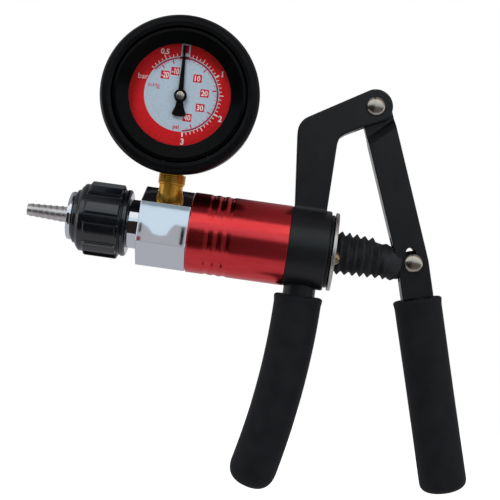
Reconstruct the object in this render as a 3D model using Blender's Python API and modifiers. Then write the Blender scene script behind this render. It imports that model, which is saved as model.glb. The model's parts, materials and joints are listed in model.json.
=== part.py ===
"""Hand vacuum pump: ribbed selector knob and hose barb, dial gauge, red barrel and squeeze lever.

Lengths are written in millimetres and become metres where a mesh is made.
X runs along the barrel from the hose barb to the lever, Z is up, and the dial faces -Y.
Design coordinates have their zero on the barrel's centre line; one empty moves the whole
pump so that the world origin is the place where a hand holds the fixed grip.
"""
import math

import bmesh
import bpy
from mathutils import Matrix, Vector

MM = 0.001
GAP = 0.3                      # left between two pieces that touch
HOLD = (29.0, 0.0, -70.0)      # middle of the fixed grip, which becomes the world origin

# Pump body, all round the X axis
BARREL_R = 19.8
BORE_R = 15.5
BARREL_X = (-24.9, 23.3)       # the part of the barrel that shows
SPIGOT_R = 17.4                # barrel end inside the collar
SPIGOT_X = 36.0
BLOCK_X = (-49.7, -25.2)
BLOCK_CORNER_R = 19.7          # hexagon bar, two corners nearly up and down
BLOCK_SPIN = math.radians(-7.0)
BLOCK_NOSE_R = 15.2
BLOCK_NOSE_X = -14.0
KNOB_X = (-82.2, -55.3)
KNOB_R = 16.6
KNOB_BORE_R = 8.8
RIB_R = 18.3
RIB_COUNT = 10
FLANGE_X = (-85.3, -82.5)
FLANGE_R = 12.0
BARB_TIP_X = -106.0
BARB_BORE_R = 1.8
BARB_TEETH = 7

# Valves in the block, one above and one below the axis
VALVE_Z = 7.5
VALVE_R = 3.6
BALL_R = 2.4
VALVE_X = (-30.0, -14.0)
CAGE_X = (-16.6, -14.3)

# Piston and rod, drawn with the lever let out
PISTON_X = (24.0, 36.0)
PISTON_R = 15.1
ROD_R = 4.0
ROD_THREAD_R = 3.0
EYE_HALF = 3.2                 # half thickness of the rod's flat eye
PIN_X = 85.5
PIN_R = 1.5
HEAD_R = 4.5
HEAD_HIGH = 2.3

# Collar, arm and end of the barrel
COLLAR_X = (23.6, 43.2)
COLLAR_R = 19.7
CAP_X = (36.3, 44.9)
PLATE_X = (45.2, 46.9)
PLATE_R = 19.3
SCREW_Y = 14.1
SCREW_Z = 2.7
BELLOWS_X = (47.2, 81.0)
BELLOWS_R = (10.9, 9.3)        # rib tops at the plate and at the lever
BELLOWS_RIBS = 8
BELLOWS_PITCH = 3.8

# Lever linkage in the XZ plane
PIVOT = (56.7, 73.4)
PIVOT_R = 2.0
ARM_HALF = 7.0                 # half thickness of the arm and of the lever
TONGUE_HALF = 3.1
FORK_SLOT_R = 15.5             # lets the tongue swing through the whole squeeze
LEVER_HALF_WIDTH = 7.6
LEVER_LEAN = math.atan2(PIN_X - PIVOT[0], PIVOT[1])
GRIP_LEAN = math.radians(16.0)
LEVER_GRIP_FROM = 17.7         # along the lower lever, from the pin
LEVER_GRIP_LONG = 96.5
SLOT_HALF = 2.1
SLOT_UP = 5.9
BAR_R = 8.0
GRIP_R = 11.7
FIXED_GRIP_Z = (-23.6, -120.0)
GRIP_X = 32.2
GRIP_BEND = 0.00136            # per millimetre, how fast the fixed grip curves away

# Gauge, round an axis along Y through this point of the XZ plane
GAUGE = (-38.2, 64.8)
STEM_X = -37.2
CASE_R = 32.3
BOOT_R = 38.7
DIAL_R = 30.1
DIAL_Z = (9.0, 9.6)
MODULE = 0.4
PINION_TEETH = 8
SECTOR_TEETH = 7
SECTOR_FULL_TEETH = 64
GEAR_CENTRES = MODULE * (PINION_TEETH + SECTOR_FULL_TEETH) / 2

TURNED_TO = {
    "X": (0.0, math.pi / 2, 0.0),      # local Z lies along +X
    "Y": (math.pi / 2, 0.0, 0.0),      # local Z lies along -Y, local Y along +Z
    "Z": (0.0, 0.0, 0.0),
}

FINISHES = {
    "red_anodised": ((0.55, 0.012, 0.018), 0.25, 0.9),
    "chrome": ((0.80, 0.81, 0.83), 0.08, 1.0),
    "steel": ((0.62, 0.61, 0.59), 0.30, 1.0),
    "brass": ((0.70, 0.44, 0.13), 0.30, 1.0),
    "aluminium": ((0.70, 0.71, 0.72), 0.35, 1.0),
    "black_paint": ((0.012, 0.013, 0.014), 0.42, 0.0),
    "black_plastic": ((0.014, 0.015, 0.016), 0.35, 0.0),
    "black_rubber": ((0.020, 0.020, 0.021), 0.70, 0.0),
    "dial_red": ((0.60, 0.020, 0.020), 0.55, 0.0),
    "glass": ((0.90, 0.93, 0.94), 0.03, 0.0),
}


def clear_scene():
    for old in list(bpy.context.scene.objects):
        bpy.data.objects.remove(old, do_unlink=True)


def new_collection(name):
    made = bpy.data.collections.new(name)
    bpy.context.scene.collection.children.link(made)
    return made


def finish_material(piece_name, finish):
    colour, roughness, metallic = FINISHES[finish]
    made = bpy.data.materials.new(piece_name + "_" + finish)
    made.use_nodes = True
    shader = made.node_tree.nodes["Principled BSDF"]
    shader.inputs["Base Color"].default_value = (*colour, 1.0)
    shader.inputs["Roughness"].default_value = roughness
    shader.inputs["Metallic"].default_value = metallic
    if finish == "glass":
        shader.inputs["Transmission Weight"].default_value = 1.0
    return made


def empty_at(name, at, parent=None):
    """An empty at a design point; `place` hangs pieces on it."""
    made = bpy.data.objects.new(name, None)
    made.empty_display_size = 0.01
    parts.objects.link(made)
    if parent is None:
        made.location = [-value * MM for value in at]
        made["design"] = (0.0, 0.0, 0.0)
    else:
        made["design"] = at
        made.parent = parent
        made.location = [(a - b) * MM for a, b in zip(at, parent["design"])]
    return made


def place(piece, at, parent, axis="Z", spin=0.0):
    """Put a piece's origin at a design point, with its local Z along `axis`, spun about it."""
    piece.parent = parent
    piece.location = [(a - b) * MM for a, b in zip(at, parent["design"])]
    turn = Matrix.Rotation(TURNED_TO[axis][0], 3, "X") @ Matrix.Rotation(TURNED_TO[axis][1], 3, "Y")
    piece.rotation_euler = (turn @ Matrix.Rotation(spin, 3, "Z")).to_euler()


def finish_piece(piece, finish, sharp=35.0):
    """Collection, material and smooth shading of a finished piece."""
    parts.objects.link(piece)
    if finish:
        piece.data.materials.append(finish_material(piece.name, finish))
    if piece.type == "MESH":
        piece.data.shade_smooth()
        piece.data.set_sharp_from_angle(angle=math.radians(sharp))
    return piece


def to_cutters(piece):
    piece.display_type = "WIRE"
    piece.hide_render = True
    for owner in list(piece.users_collection):
        owner.objects.unlink(piece)
    cutters.objects.link(piece)
    return piece


def turned(name, outline, steps, axis, at, parent, finish=None, closed=True):
    """A turned piece. `outline` holds (place along the axis, radius), down the outer side."""
    mesh = bpy.data.meshes.new(name)
    points = [(radius * MM, 0.0, along * MM) for along, radius in outline]
    edges = [(i, i + 1) for i in range(len(points) - 1)]
    if closed:
        edges.append((len(points) - 1, 0))
    mesh.from_pydata(points, edges, [])
    piece = bpy.data.objects.new(name, mesh)
    screw = piece.modifiers.new("turn", "SCREW")
    screw.axis = "Z"
    screw.angle = 2 * math.pi
    screw.steps = steps
    screw.render_steps = steps
    screw.use_merge_vertices = True
    screw.merge_threshold = 0.00001
    screw.use_smooth_shade = True
    place(piece, at, parent, axis)
    if finish:
        return finish_piece(piece, finish)
    return to_cutters(piece)


def rod_piece(name, radius, length, steps, axis, at, parent, finish=None):
    """A plain round bar or drill, centred on `at`."""
    mesh = bpy.data.meshes.new(name)
    shape = bmesh.new()
    bmesh.ops.create_cone(shape, cap_ends=True, segments=steps, radius1=radius * MM,
                          radius2=radius * MM, depth=length * MM)
    shape.to_mesh(mesh)
    shape.free()
    piece = bpy.data.objects.new(name, mesh)
    place(piece, at, parent, axis, spin=math.pi / steps)
    if finish:
        return finish_piece(piece, finish)
    return to_cutters(piece)


def block_piece(name, size, at, parent, finish=None):
    """A box centred on `at`."""
    mesh = bpy.data.meshes.new(name)
    shape = bmesh.new()
    bmesh.ops.create_cube(shape, size=1.0)
    bmesh.ops.scale(shape, vec=[value * MM for value in size], verts=shape.verts)
    shape.to_mesh(mesh)
    shape.free()
    piece = bpy.data.objects.new(name, mesh)
    place(piece, at, parent)
    if finish:
        return finish_piece(piece, finish)
    return to_cutters(piece)


def hexagon_bar(name, corner_r, length, at, parent, finish=None, spin=0.0):
    """A hexagon bar along X with two corners straight up and down, then spun."""
    mesh = bpy.data.meshes.new(name)
    shape = bmesh.new()
    bmesh.ops.create_cone(shape, cap_ends=True, segments=6, radius1=corner_r * MM,
                          radius2=corner_r * MM, depth=length * MM)
    first = max(shape.verts, key=lambda v: v.co.x)
    start = math.atan2(first.co.y, first.co.x)
    bmesh.ops.rotate(shape, matrix=Matrix.Rotation(-start, 3, "Z"), verts=shape.verts)
    shape.to_mesh(mesh)
    shape.free()
    piece = bpy.data.objects.new(name, mesh)
    place(piece, at, parent, "X", spin)
    if finish:
        return finish_piece(piece, finish)
    return to_cutters(piece)


def mesh_from(curve_piece):
    """Turn a curve object into a welded mesh object of the same name and place."""
    name = curve_piece.name
    bpy.context.view_layer.update()
    seen = curve_piece.evaluated_get(bpy.context.evaluated_depsgraph_get())
    mesh = bpy.data.meshes.new_from_object(seen)
    shape = bmesh.new()
    shape.from_mesh(mesh)
    bmesh.ops.remove_doubles(shape, verts=shape.verts, dist=0.000001)
    bmesh.ops.recalc_face_normals(shape, faces=shape.faces)
    shape.to_mesh(mesh)
    shape.free()
    parent = curve_piece.parent
    location = curve_piece.location.copy()
    turn = curve_piece.rotation_euler.copy()
    bpy.data.objects.remove(curve_piece, do_unlink=True)
    piece = bpy.data.objects.new(name, mesh)
    piece.parent = parent
    piece.location = location
    piece.rotation_euler = turn
    return piece


def flat_plate(name, outlines, half, axis, at, parent, finish=None, spin=0.0):
    """A flat outline with thickness 2 * half; further outlines are holes in the first."""
    curve = bpy.data.curves.new(name, "CURVE")
    curve.dimensions = "2D"
    curve.fill_mode = "BOTH"
    curve.extrude = half * MM
    for outline in outlines:
        spline = curve.splines.new("POLY")
        spline.points.add(len(outline) - 1)
        for point, (x, y) in zip(spline.points, outline):
            point.co = (x * MM, y * MM, 0.0, 1.0)
        spline.use_cyclic_u = True
    drawn = bpy.data.objects.new(name, curve)
    cutters.objects.link(drawn)
    place(drawn, at, parent, axis, spin)
    piece = mesh_from(drawn)
    if finish:
        return finish_piece(piece, finish)
    return to_cutters(piece)


def tube(name, points, radius, sides, at, parent, finish=None, radii=None):
    """A round bar along points given in design coordinates, with filled ends."""
    curve = bpy.data.curves.new(name, "CURVE")
    curve.dimensions = "3D"
    curve.bevel_depth = radius * MM
    curve.bevel_resolution = (sides - 4) // 2
    curve.use_fill_caps = True
    spline = curve.splines.new("POLY")
    spline.points.add(len(points) - 1)
    scales = radii or [1.0] * len(points)
    for point, co, scale in zip(spline.points, points, scales):
        point.co = (*[(c - o) * MM for c, o in zip(co, at)], 1.0)
        point.radius = scale
    drawn = bpy.data.objects.new(name, curve)
    cutters.objects.link(drawn)
    place(drawn, at, parent)
    piece = mesh_from(drawn)
    if finish:
        return finish_piece(piece, finish)
    return to_cutters(piece)


def boolean(piece, tool, operation):
    step = piece.modifiers.new(operation.lower() + "_" + tool.name, "BOOLEAN")
    step.operation = operation
    step.object = tool
    return piece


def cut(piece, *tools):
    for tool in tools:
        boolean(piece, tool, "DIFFERENCE")


def join(piece, *tools):
    for tool in tools:
        boolean(piece, tool, "UNION")


def arc(centre, radius, start, end, count):
    """Points on an arc, angles in degrees, both ends included."""
    points = []
    for i in range(count):
        angle = math.radians(start + (end - start) * i / (count - 1))
        points.append((centre[0] + radius * math.cos(angle), centre[1] + radius * math.sin(angle)))
    return points


def ring(name, along, major, minor, steps, parent, finish=None, at=(0.0, 0.0, 0.0)):
    """An O-ring round the X axis, six-sided in section."""
    outline = []
    for i in range(6):
        angle = math.pi / 2 - i * math.pi / 3
        outline.append((along + minor * math.sin(angle), major + minor * math.cos(angle)))
    return turned(name, outline, steps, "X", at, parent, finish)


def helix(along, mean_r, curls, per_curl, centre_z=0.0):
    """Points of a coil round a line parallel to X, from along[0] to along[1]."""
    count = curls * per_curl + 1
    points = []
    for i in range(count):
        share = i / (count - 1)
        turn = 2 * math.pi * curls * share
        x = along[0] + (along[1] - along[0]) * share
        points.append((x, mean_r * math.cos(turn), centre_z + mean_r * math.sin(turn)))
    return points


def least_gap(points, radius, skip):
    """Clear space between a coil's own turns, measured from point to point."""
    least = 1000.0
    for i, here in enumerate(points):
        for there in points[i + skip:]:
            least = min(least, (Vector(here) - Vector(there)).length)
    return least - 2 * radius


def make_hose_end(root):
    """Barb, chrome nut and the spindle that the selector knob turns on."""
    pitch = (FLANGE_X[0] - 0.5 - BARB_TIP_X) / BARB_TEETH
    outline = [(-76.0, BARB_BORE_R), (-76.0, 4.5), (FLANGE_X[0] - 0.5, 4.5)]
    for i in range(BARB_TEETH):
        start = FLANGE_X[0] - 0.5 - i * pitch
        high = 4.1 - 0.9 * i / (BARB_TEETH - 1)
        outline.append((start - 0.05, high))
        outline.append((start - pitch, high - 0.55))
    outline.append((BARB_TIP_X, BARB_BORE_R))
    turned("hose_barb", outline, 16, "X", (0, 0, 0), root, "steel")

    turned("nozzle_flange",
           [(FLANGE_X[1], 4.8), (FLANGE_X[1], FLANGE_R), (FLANGE_X[0] + 0.7, FLANGE_R),
            (FLANGE_X[0], FLANGE_R - 0.7), (FLANGE_X[0], 4.8)],
           24, "X", (0, 0, 0), root, "chrome")

    spindle = turned("spindle",
                     [(-38.0, 2.0), (-38.0, 8.0), (-50.0, 8.0), (-50.0, FLANGE_R), (-55.0, FLANGE_R),
                      (-55.0, 8.4), (-60.9, 8.4), (-60.9, 6.6), (-63.1, 6.6), (-63.1, 8.4),
                      (-74.9, 8.4), (-74.9, 6.6), (-77.1, 6.6), (-77.1, 8.4), (-82.2, 8.4),
                      (-82.2, 4.8), (-70.0, 4.8), (-70.0, 2.0)],
                     20, "X", (0, 0, 0), root, "chrome")
    cut(spindle, rod_piece("spindle_port", 1.4, 24.0, 12, "Z", (-67.0, 0, 0), root))
    for word, x in (("rear", -62.0), ("front", -76.0)):
        ring("spindle_seal_" + word, x, 7.6, 0.75, 16, root, "black_rubber")


def make_knob(root):
    """Selector knob: stepped body with broad ribs."""
    knob = turned("selector_knob",
                  [(KNOB_X[1], KNOB_BORE_R), (KNOB_X[1], 15.6), (-56.2, 16.4), (-57.6, 16.4),
                   (-58.4, 15.7), (-59.0, KNOB_R), (-78.4, KNOB_R), (-79.9, 14.9), (-80.4, 13.4),
                   (-81.8, 13.1), (KNOB_X[0], 12.6), (KNOB_X[0], KNOB_BORE_R)],
                  30, "X", (0, 0, 0), root, "black_plastic")
    outline = []
    for i in range(RIB_COUNT):
        middle = 360.0 * i / RIB_COUNT
        for turn, radius in ((-11.5, KNOB_R - 0.6), (-9.5, RIB_R), (0.0, RIB_R), (9.5, RIB_R),
                             (11.5, KNOB_R - 0.6)):
            angle = math.radians(middle + turn)
            outline.append((radius * math.cos(angle), radius * math.sin(angle)))
    inside = arc((0, 0), KNOB_R - 1.5, 6.0, 348.0, 20)
    ribs = flat_plate("knob_ribs", [outline, inside], 8.5, "X", (-67.6, 0, 0), root)
    join(knob, ribs)


def make_block(root):
    """Chrome hexagon block with the valve chambers, and what they hold."""
    middle = (BLOCK_X[0] + BLOCK_X[1]) / 2
    block = hexagon_bar("valve_block", BLOCK_CORNER_R, BLOCK_X[1] - BLOCK_X[0] + 4.0,
                        (middle, 0, 0), root, "chrome", BLOCK_SPIN)
    chamfer = turned("block_chamfer",
                     [(BLOCK_X[1], 0.0), (BLOCK_X[1], 19.0), (BLOCK_X[1] - 0.7, 20.0),
                      (BLOCK_X[0] + 0.7, 20.0), (BLOCK_X[0], 19.0), (BLOCK_X[0], 0.0)],
                     24, "X", (0, 0, 0), root, closed=False)
    boolean(block, chamfer, "INTERSECT")
    nose = turned("block_nose",
                  [(BLOCK_NOSE_X, 0.0), (BLOCK_NOSE_X, BLOCK_NOSE_R), (-18.9, BLOCK_NOSE_R),
                   (-18.9, 13.4), (-21.1, 13.4), (-21.1, BLOCK_NOSE_R), (-27.0, BLOCK_NOSE_R),
                   (-27.0, 0.0)],
                  22, "X", (0, 0, 0), root, closed=False)
    join(block, nose)
    cut(block,
        rod_piece("spindle_bore", 8.3, 17.0, 20, "X", (-44.0, 0, 0), root),
        rod_piece("gauge_port", 5.2, 12.0, 16, "Z", (STEM_X, 0, 16.0), root),
        rod_piece("gauge_seat", 6.1, 6.0, 20, "Z", (STEM_X, 0, 19.2), root),
        rod_piece("gauge_drill", 1.6, 14.0, 10, "Z", (STEM_X, 0, 5.0), root))
    for side, word in ((1, "inlet"), (-1, "outlet")):
        chamber_long = VALVE_X[1] - VALVE_X[0]
        chamber = (VALVE_X[0] + chamber_long / 2 + 1.0, 0, side * VALVE_Z)
        cut(block,
            rod_piece(word + "_chamber", VALVE_R, chamber_long + 2.0, 16, "X", chamber, root),
            rod_piece(word + "_drill", 1.3, 9.0, 8, "X", (-33.0, 0, side * VALVE_Z), root))
    ring("barrel_seal", -20.0, 14.35, 0.75, 18, root, "black_rubber")

    for side, word in ((1, "inlet"), (-1, "outlet")):
        outline = [(CAGE_X[1], 1.5), (CAGE_X[1], 3.3), (CAGE_X[0], 3.3), (CAGE_X[0], 1.5)]
        turned(word + "_cage", outline, 14, "X", (0, 0, side * VALVE_Z), root, "brass")

    inlet_x = VALVE_X[0] + GAP + BALL_R
    outlet_x = CAGE_X[0] - GAP - BALL_R
    for word, x, side in (("inlet", inlet_x, 1), ("outlet", outlet_x, -1)):
        mesh = bpy.data.meshes.new(word + "_ball")
        shape = bmesh.new()
        bmesh.ops.create_uvsphere(shape, u_segments=12, v_segments=8, radius=BALL_R * MM)
        shape.to_mesh(mesh)
        shape.free()
        ball = bpy.data.objects.new(word + "_ball", mesh)
        place(ball, (x, 0, side * VALVE_Z), root)
        finish_piece(ball, "steel", 60.0)
    wire = 0.35
    springs = (("inlet_spring", (inlet_x + BALL_R + GAP + wire, CAGE_X[0] - GAP - wire), 1),
               ("outlet_spring", (VALVE_X[0] + GAP + wire, outlet_x - BALL_R - GAP - wire), -1))
    for word, along, side in springs:
        points = helix(along, 2.1, 4, 8, side * VALVE_Z)
        print(word, "least gap to itself, mm:", round(least_gap(points, wire, 6), 2))
        tube(word, points, wire, 6, (0, 0, side * VALVE_Z), root, "steel")


def make_barrel(root):
    """Red barrel with three turned grooves, piston inside, and the cap end."""
    outline = [(SPIGOT_X, BORE_R), (SPIGOT_X, SPIGOT_R), (BARREL_X[1], SPIGOT_R),
               (BARREL_X[1], BARREL_R)]
    for centre in (-6.2, -10.6, -15.0):
        outline += [(centre + 1.2, BARREL_R), (centre + 0.9, BARREL_R - 0.7),
                    (centre - 0.9, BARREL_R - 0.7), (centre - 1.2, BARREL_R)]
    outline += [(BARREL_X[0] + 0.5, BARREL_R), (BARREL_X[0], BARREL_R - 0.5), (BARREL_X[0], BORE_R)]
    turned("pump_barrel", outline, 30, "X", (0, 0, 0), root, "red_anodised")

    groove = (29.0, 32.2)
    turned("piston",
           [(PISTON_X[1], ROD_THREAD_R + GAP), (PISTON_X[1], PISTON_R), (groove[1], PISTON_R),
            (groove[1], 12.4), (groove[0], 12.4), (groove[0], PISTON_R), (PISTON_X[0], PISTON_R),
            (PISTON_X[0], ROD_THREAD_R + GAP)],
           22, "X", (0, 0, 0), root, "aluminium")
    ring("piston_seal", sum(groove) / 2, 13.85, 1.25, 18, root, "black_rubber")

    wire = 0.9
    along = (BLOCK_NOSE_X + GAP + wire, PISTON_X[0] - GAP - wire)
    points = helix(along, 9.6, 7, 8)
    print("return_spring least gap to itself, mm:", round(least_gap(points, wire, 7), 2))
    tube("return_spring", points, wire, 6, (0, 0, 0), root, "steel")

    nut = hexagon_bar("rod_nut", 5.4, 3.6, (PISTON_X[0] - GAP - 1.8, 0, 0), root, "steel")
    cut(nut, rod_piece("nut_bore", ROD_THREAD_R + GAP, 8.0, 12, "X",
                       (PISTON_X[0] - GAP - 1.8, 0, 0), root))

    cap = turned("end_cap",
                 [(CAP_X[1], 6.3), (CAP_X[1], 17.5), (CAP_X[1] - 0.5, 18.0), (43.5, 18.0),
                  (43.5, SPIGOT_R), (CAP_X[0], SPIGOT_R), (CAP_X[0], 6.3)],
                 24, "X", (0, 0, 0), root, "black_paint")
    turned("rod_bush", [(45.1, ROD_R + GAP), (45.1, 6.0), (36.6, 6.0), (36.6, ROD_R + GAP)],
           16, "X", (0, 0, 0), root, "brass")
    plate = turned("end_plate",
                   [(PLATE_X[1], 4.7), (PLATE_X[1], PLATE_R - 0.4), (PLATE_X[1] - 0.4, PLATE_R),
                    (PLATE_X[0], PLATE_R), (PLATE_X[0], 4.7)],
                   28, "X", (0, 0, 0), root, "steel")
    for side, word in ((1, "back"), (-1, "front")):
        at = (0, side * SCREW_Y, side * SCREW_Z)
        outline = [(48.9, 0.0), (48.6, 1.9), (47.9, 3.0), (PLATE_X[1] + GAP, 3.2),
                   (PLATE_X[1] + GAP, 1.5), (38.5, 1.5), (38.5, 0.0)]
        turned("plate_screw_" + word, outline, 12, "X", at, root, "steel", closed=False)
        hole = rod_piece("screw_hole_%d" % side, 1.8, 11.0, 12, "X",
                         (43.0, side * SCREW_Y, side * SCREW_Z), root)
        cut(cap, hole)
        cut(plate, hole)


def make_rod(root):
    """Piston rod with its flat eye, and the pin that drives it."""
    rod = turned("piston_rod",
                 [(PIN_X - 9.8, 0.0), (PIN_X - 9.8, ROD_R), (PISTON_X[1] + GAP, ROD_R),
                  (PISTON_X[1] + GAP, ROD_THREAD_R), (18.4, ROD_THREAD_R), (17.9, 2.5), (17.9, 0.0)],
                 16, "X", (0, 0, 0), root, "steel", closed=False)
    eye_r = 6.1
    neck = 3.4
    outline = [(-12.0, -neck), (-7.5, -neck)] + arc((0, 0), eye_r, -112.0, 112.0, 13)
    outline += [(-7.5, neck), (-12.0, neck)]
    join(rod, flat_plate("rod_eye", [outline], EYE_HALF, "Y", (PIN_X, 0, 0), root))
    cut(rod, rod_piece("eye_hole", PIN_R + GAP, 10.0, 14, "Y", (PIN_X, 0, 0), root))
    riveted_pin("drive_pin", PIN_R, (PIN_X, 0, 0), root)


def riveted_pin(name, shank_r, at, parent):
    """A pin along Y with a domed head on each face of the linkage."""
    low = ARM_HALF + GAP
    half = [(low + HEAD_HIGH, 0.0), (low + 0.92 * HEAD_HIGH, 0.42 * HEAD_R),
            (low + 0.62 * HEAD_HIGH, 0.80 * HEAD_R), (low, HEAD_R), (low, shank_r)]
    outline = half + [(-along, radius) for along, radius in reversed(half)]
    return turned(name, outline, 16, "Y", at, parent, "chrome", closed=False)


def bellows_profile():
    """Half of the bellows: a ribbed outer side and a plain bore."""
    outline = [(BELLOWS_X[1], 5.3), (BELLOWS_X[1], 6.6), (BELLOWS_X[1] - 2.2, 7.6)]
    for i in reversed(range(BELLOWS_RIBS)):
        top = BELLOWS_X[0] + 2.1 + i * BELLOWS_PITCH
        radius = BELLOWS_R[0] + (BELLOWS_R[1] - BELLOWS_R[0]) * i / (BELLOWS_RIBS - 1)
        if i < BELLOWS_RIBS - 1:
            outline.append((top + BELLOWS_PITCH / 2, radius - 1.8))
        outline.append((top + 0.45, radius))
        outline.append((top - 0.45, radius))
    outline += [(BELLOWS_X[0], BELLOWS_R[0] - 1.9), (BELLOWS_X[0], 6.2)]
    return outline


def make_bellows(root):
    bellows = turned("bellows", bellows_profile(), 20, "X", (0, 0, 0), root, "black_rubber")
    across = 30.0
    shift = LEVER_HALF_WIDTH + 0.5 - across / 2
    face = (PIN_X - shift * math.cos(LEVER_LEAN), 0, -shift * math.sin(LEVER_LEAN))
    slab = block_piece("lever_side", (across, 40.0, 60.0), face, root)
    slab.rotation_euler = (0.0, -LEVER_LEAN, 0.0)
    cut(bellows, slab)


def grip_line(z):
    """X of the fixed grip's centre line at a height."""
    return GRIP_X - GRIP_BEND * (z - FIXED_GRIP_Z[0]) ** 2


def make_frame(root):
    """Cast collar with the arm that holds the pivot and the bar inside the fixed grip."""
    frame = turned("handle_frame",
                   [(COLLAR_X[1], 14.0), (COLLAR_X[1], COLLAR_R - 0.6), (COLLAR_X[1] - 0.6, COLLAR_R),
                    (COLLAR_X[0], COLLAR_R), (COLLAR_X[0], 14.0)],
                   30, "X", (0, 0, 0), root, "black_paint")
    rise = math.radians(30.7)
    end_r = 8.5
    top_of_end = (PIVOT[0] - end_r * math.sin(rise), PIVOT[1] + end_r * math.cos(rise))
    outline = [(24.4, 15.0), (20.6, 54.9)]
    outline += arc((29.3, 56.4), 8.8, 176.0, 121.0, 4)
    outline += [top_of_end]
    outline += arc(PIVOT, end_r, 108.0, -42.0, 9)
    outline += [(52.2, 62.6), (44.1, 58.2), (41.4, 56.0), (40.6, 52.8), (40.2, 15.0)]
    arm = flat_plate("frame_arm", [outline], ARM_HALF, "Y", (0, 0, 0), root)
    heights = [-15.0, -24.0, -45.0, -66.0, -88.0, -112.0]
    bar = tube("frame_bar", [(grip_line(z), 0, z) for z in heights], BAR_R, 16, (0, 0, 0), root)
    join(frame, arm, bar)
    at_pivot = (PIVOT[0], 0, PIVOT[1])
    cut(frame,
        rod_piece("collar_bore", SPIGOT_R + GAP, 30.0, 30, "X", (33.0, 0, 0), root),
        rod_piece("fork_slot", FORK_SLOT_R, 2 * (TONGUE_HALF + GAP), 28, "Y", at_pivot, root),
        rod_piece("pivot_hole", PIVOT_R + GAP, 24.0, 14, "Y", at_pivot, root))

    grip_r = [(FIXED_GRIP_Z[0], 0.94), (FIXED_GRIP_Z[0] - 0.9, 1.03), (FIXED_GRIP_Z[0] - 5.0, 1.0),
              (-45.0, 0.99), (-66.0, 1.0), (-88.0, 0.98), (-108.0, 0.98), (-114.0, 0.92),
              (-118.0, 0.74), (-119.6, 0.48)]
    points = [(grip_line(z), 0, z) for z, scale in grip_r]
    grip = tube("fixed_grip", points, GRIP_R, 20, (0, 0, 0), root, "black_rubber",
                [scale for z, scale in grip_r])
    hole_z = [-15.0, -24.0, -45.0, -66.0, -88.0, -112.6]
    cut(grip, tube("grip_bore", [(grip_line(z), 0, z) for z in hole_z], BAR_R + GAP, 16,
                   (0, 0, 0), root))
    riveted_pin("pivot_rivet", PIVOT_R, at_pivot, root)


def lever_outline():
    """Upper lever from its round end at the pivot to the bend at the pin, then the lower part."""
    along = Vector((math.sin(LEVER_LEAN), -math.cos(LEVER_LEAN)))
    side = Vector((math.cos(LEVER_LEAN), math.sin(LEVER_LEAN)))
    low_along = Vector((math.sin(GRIP_LEAN), -math.cos(GRIP_LEAN)))
    low_side = Vector((math.cos(GRIP_LEAN), math.sin(GRIP_LEAN)))
    pin = Vector((PIN_X - PIVOT[0], -PIVOT[1]))
    middle_side = (side + low_side).normalized()
    low_end = pin + low_along * (LEVER_GRIP_FROM - GAP)
    lean = math.degrees(LEVER_LEAN)
    outline = arc((0, 0), LEVER_HALF_WIDTH, 180.0 + lean, lean, 12)
    outline += [tuple(pin + middle_side * LEVER_HALF_WIDTH), tuple(low_end + low_side * LEVER_HALF_WIDTH),
                tuple(low_end - low_side * LEVER_HALF_WIDTH), tuple(pin - middle_side * LEVER_HALF_WIDTH)]
    return outline


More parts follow.
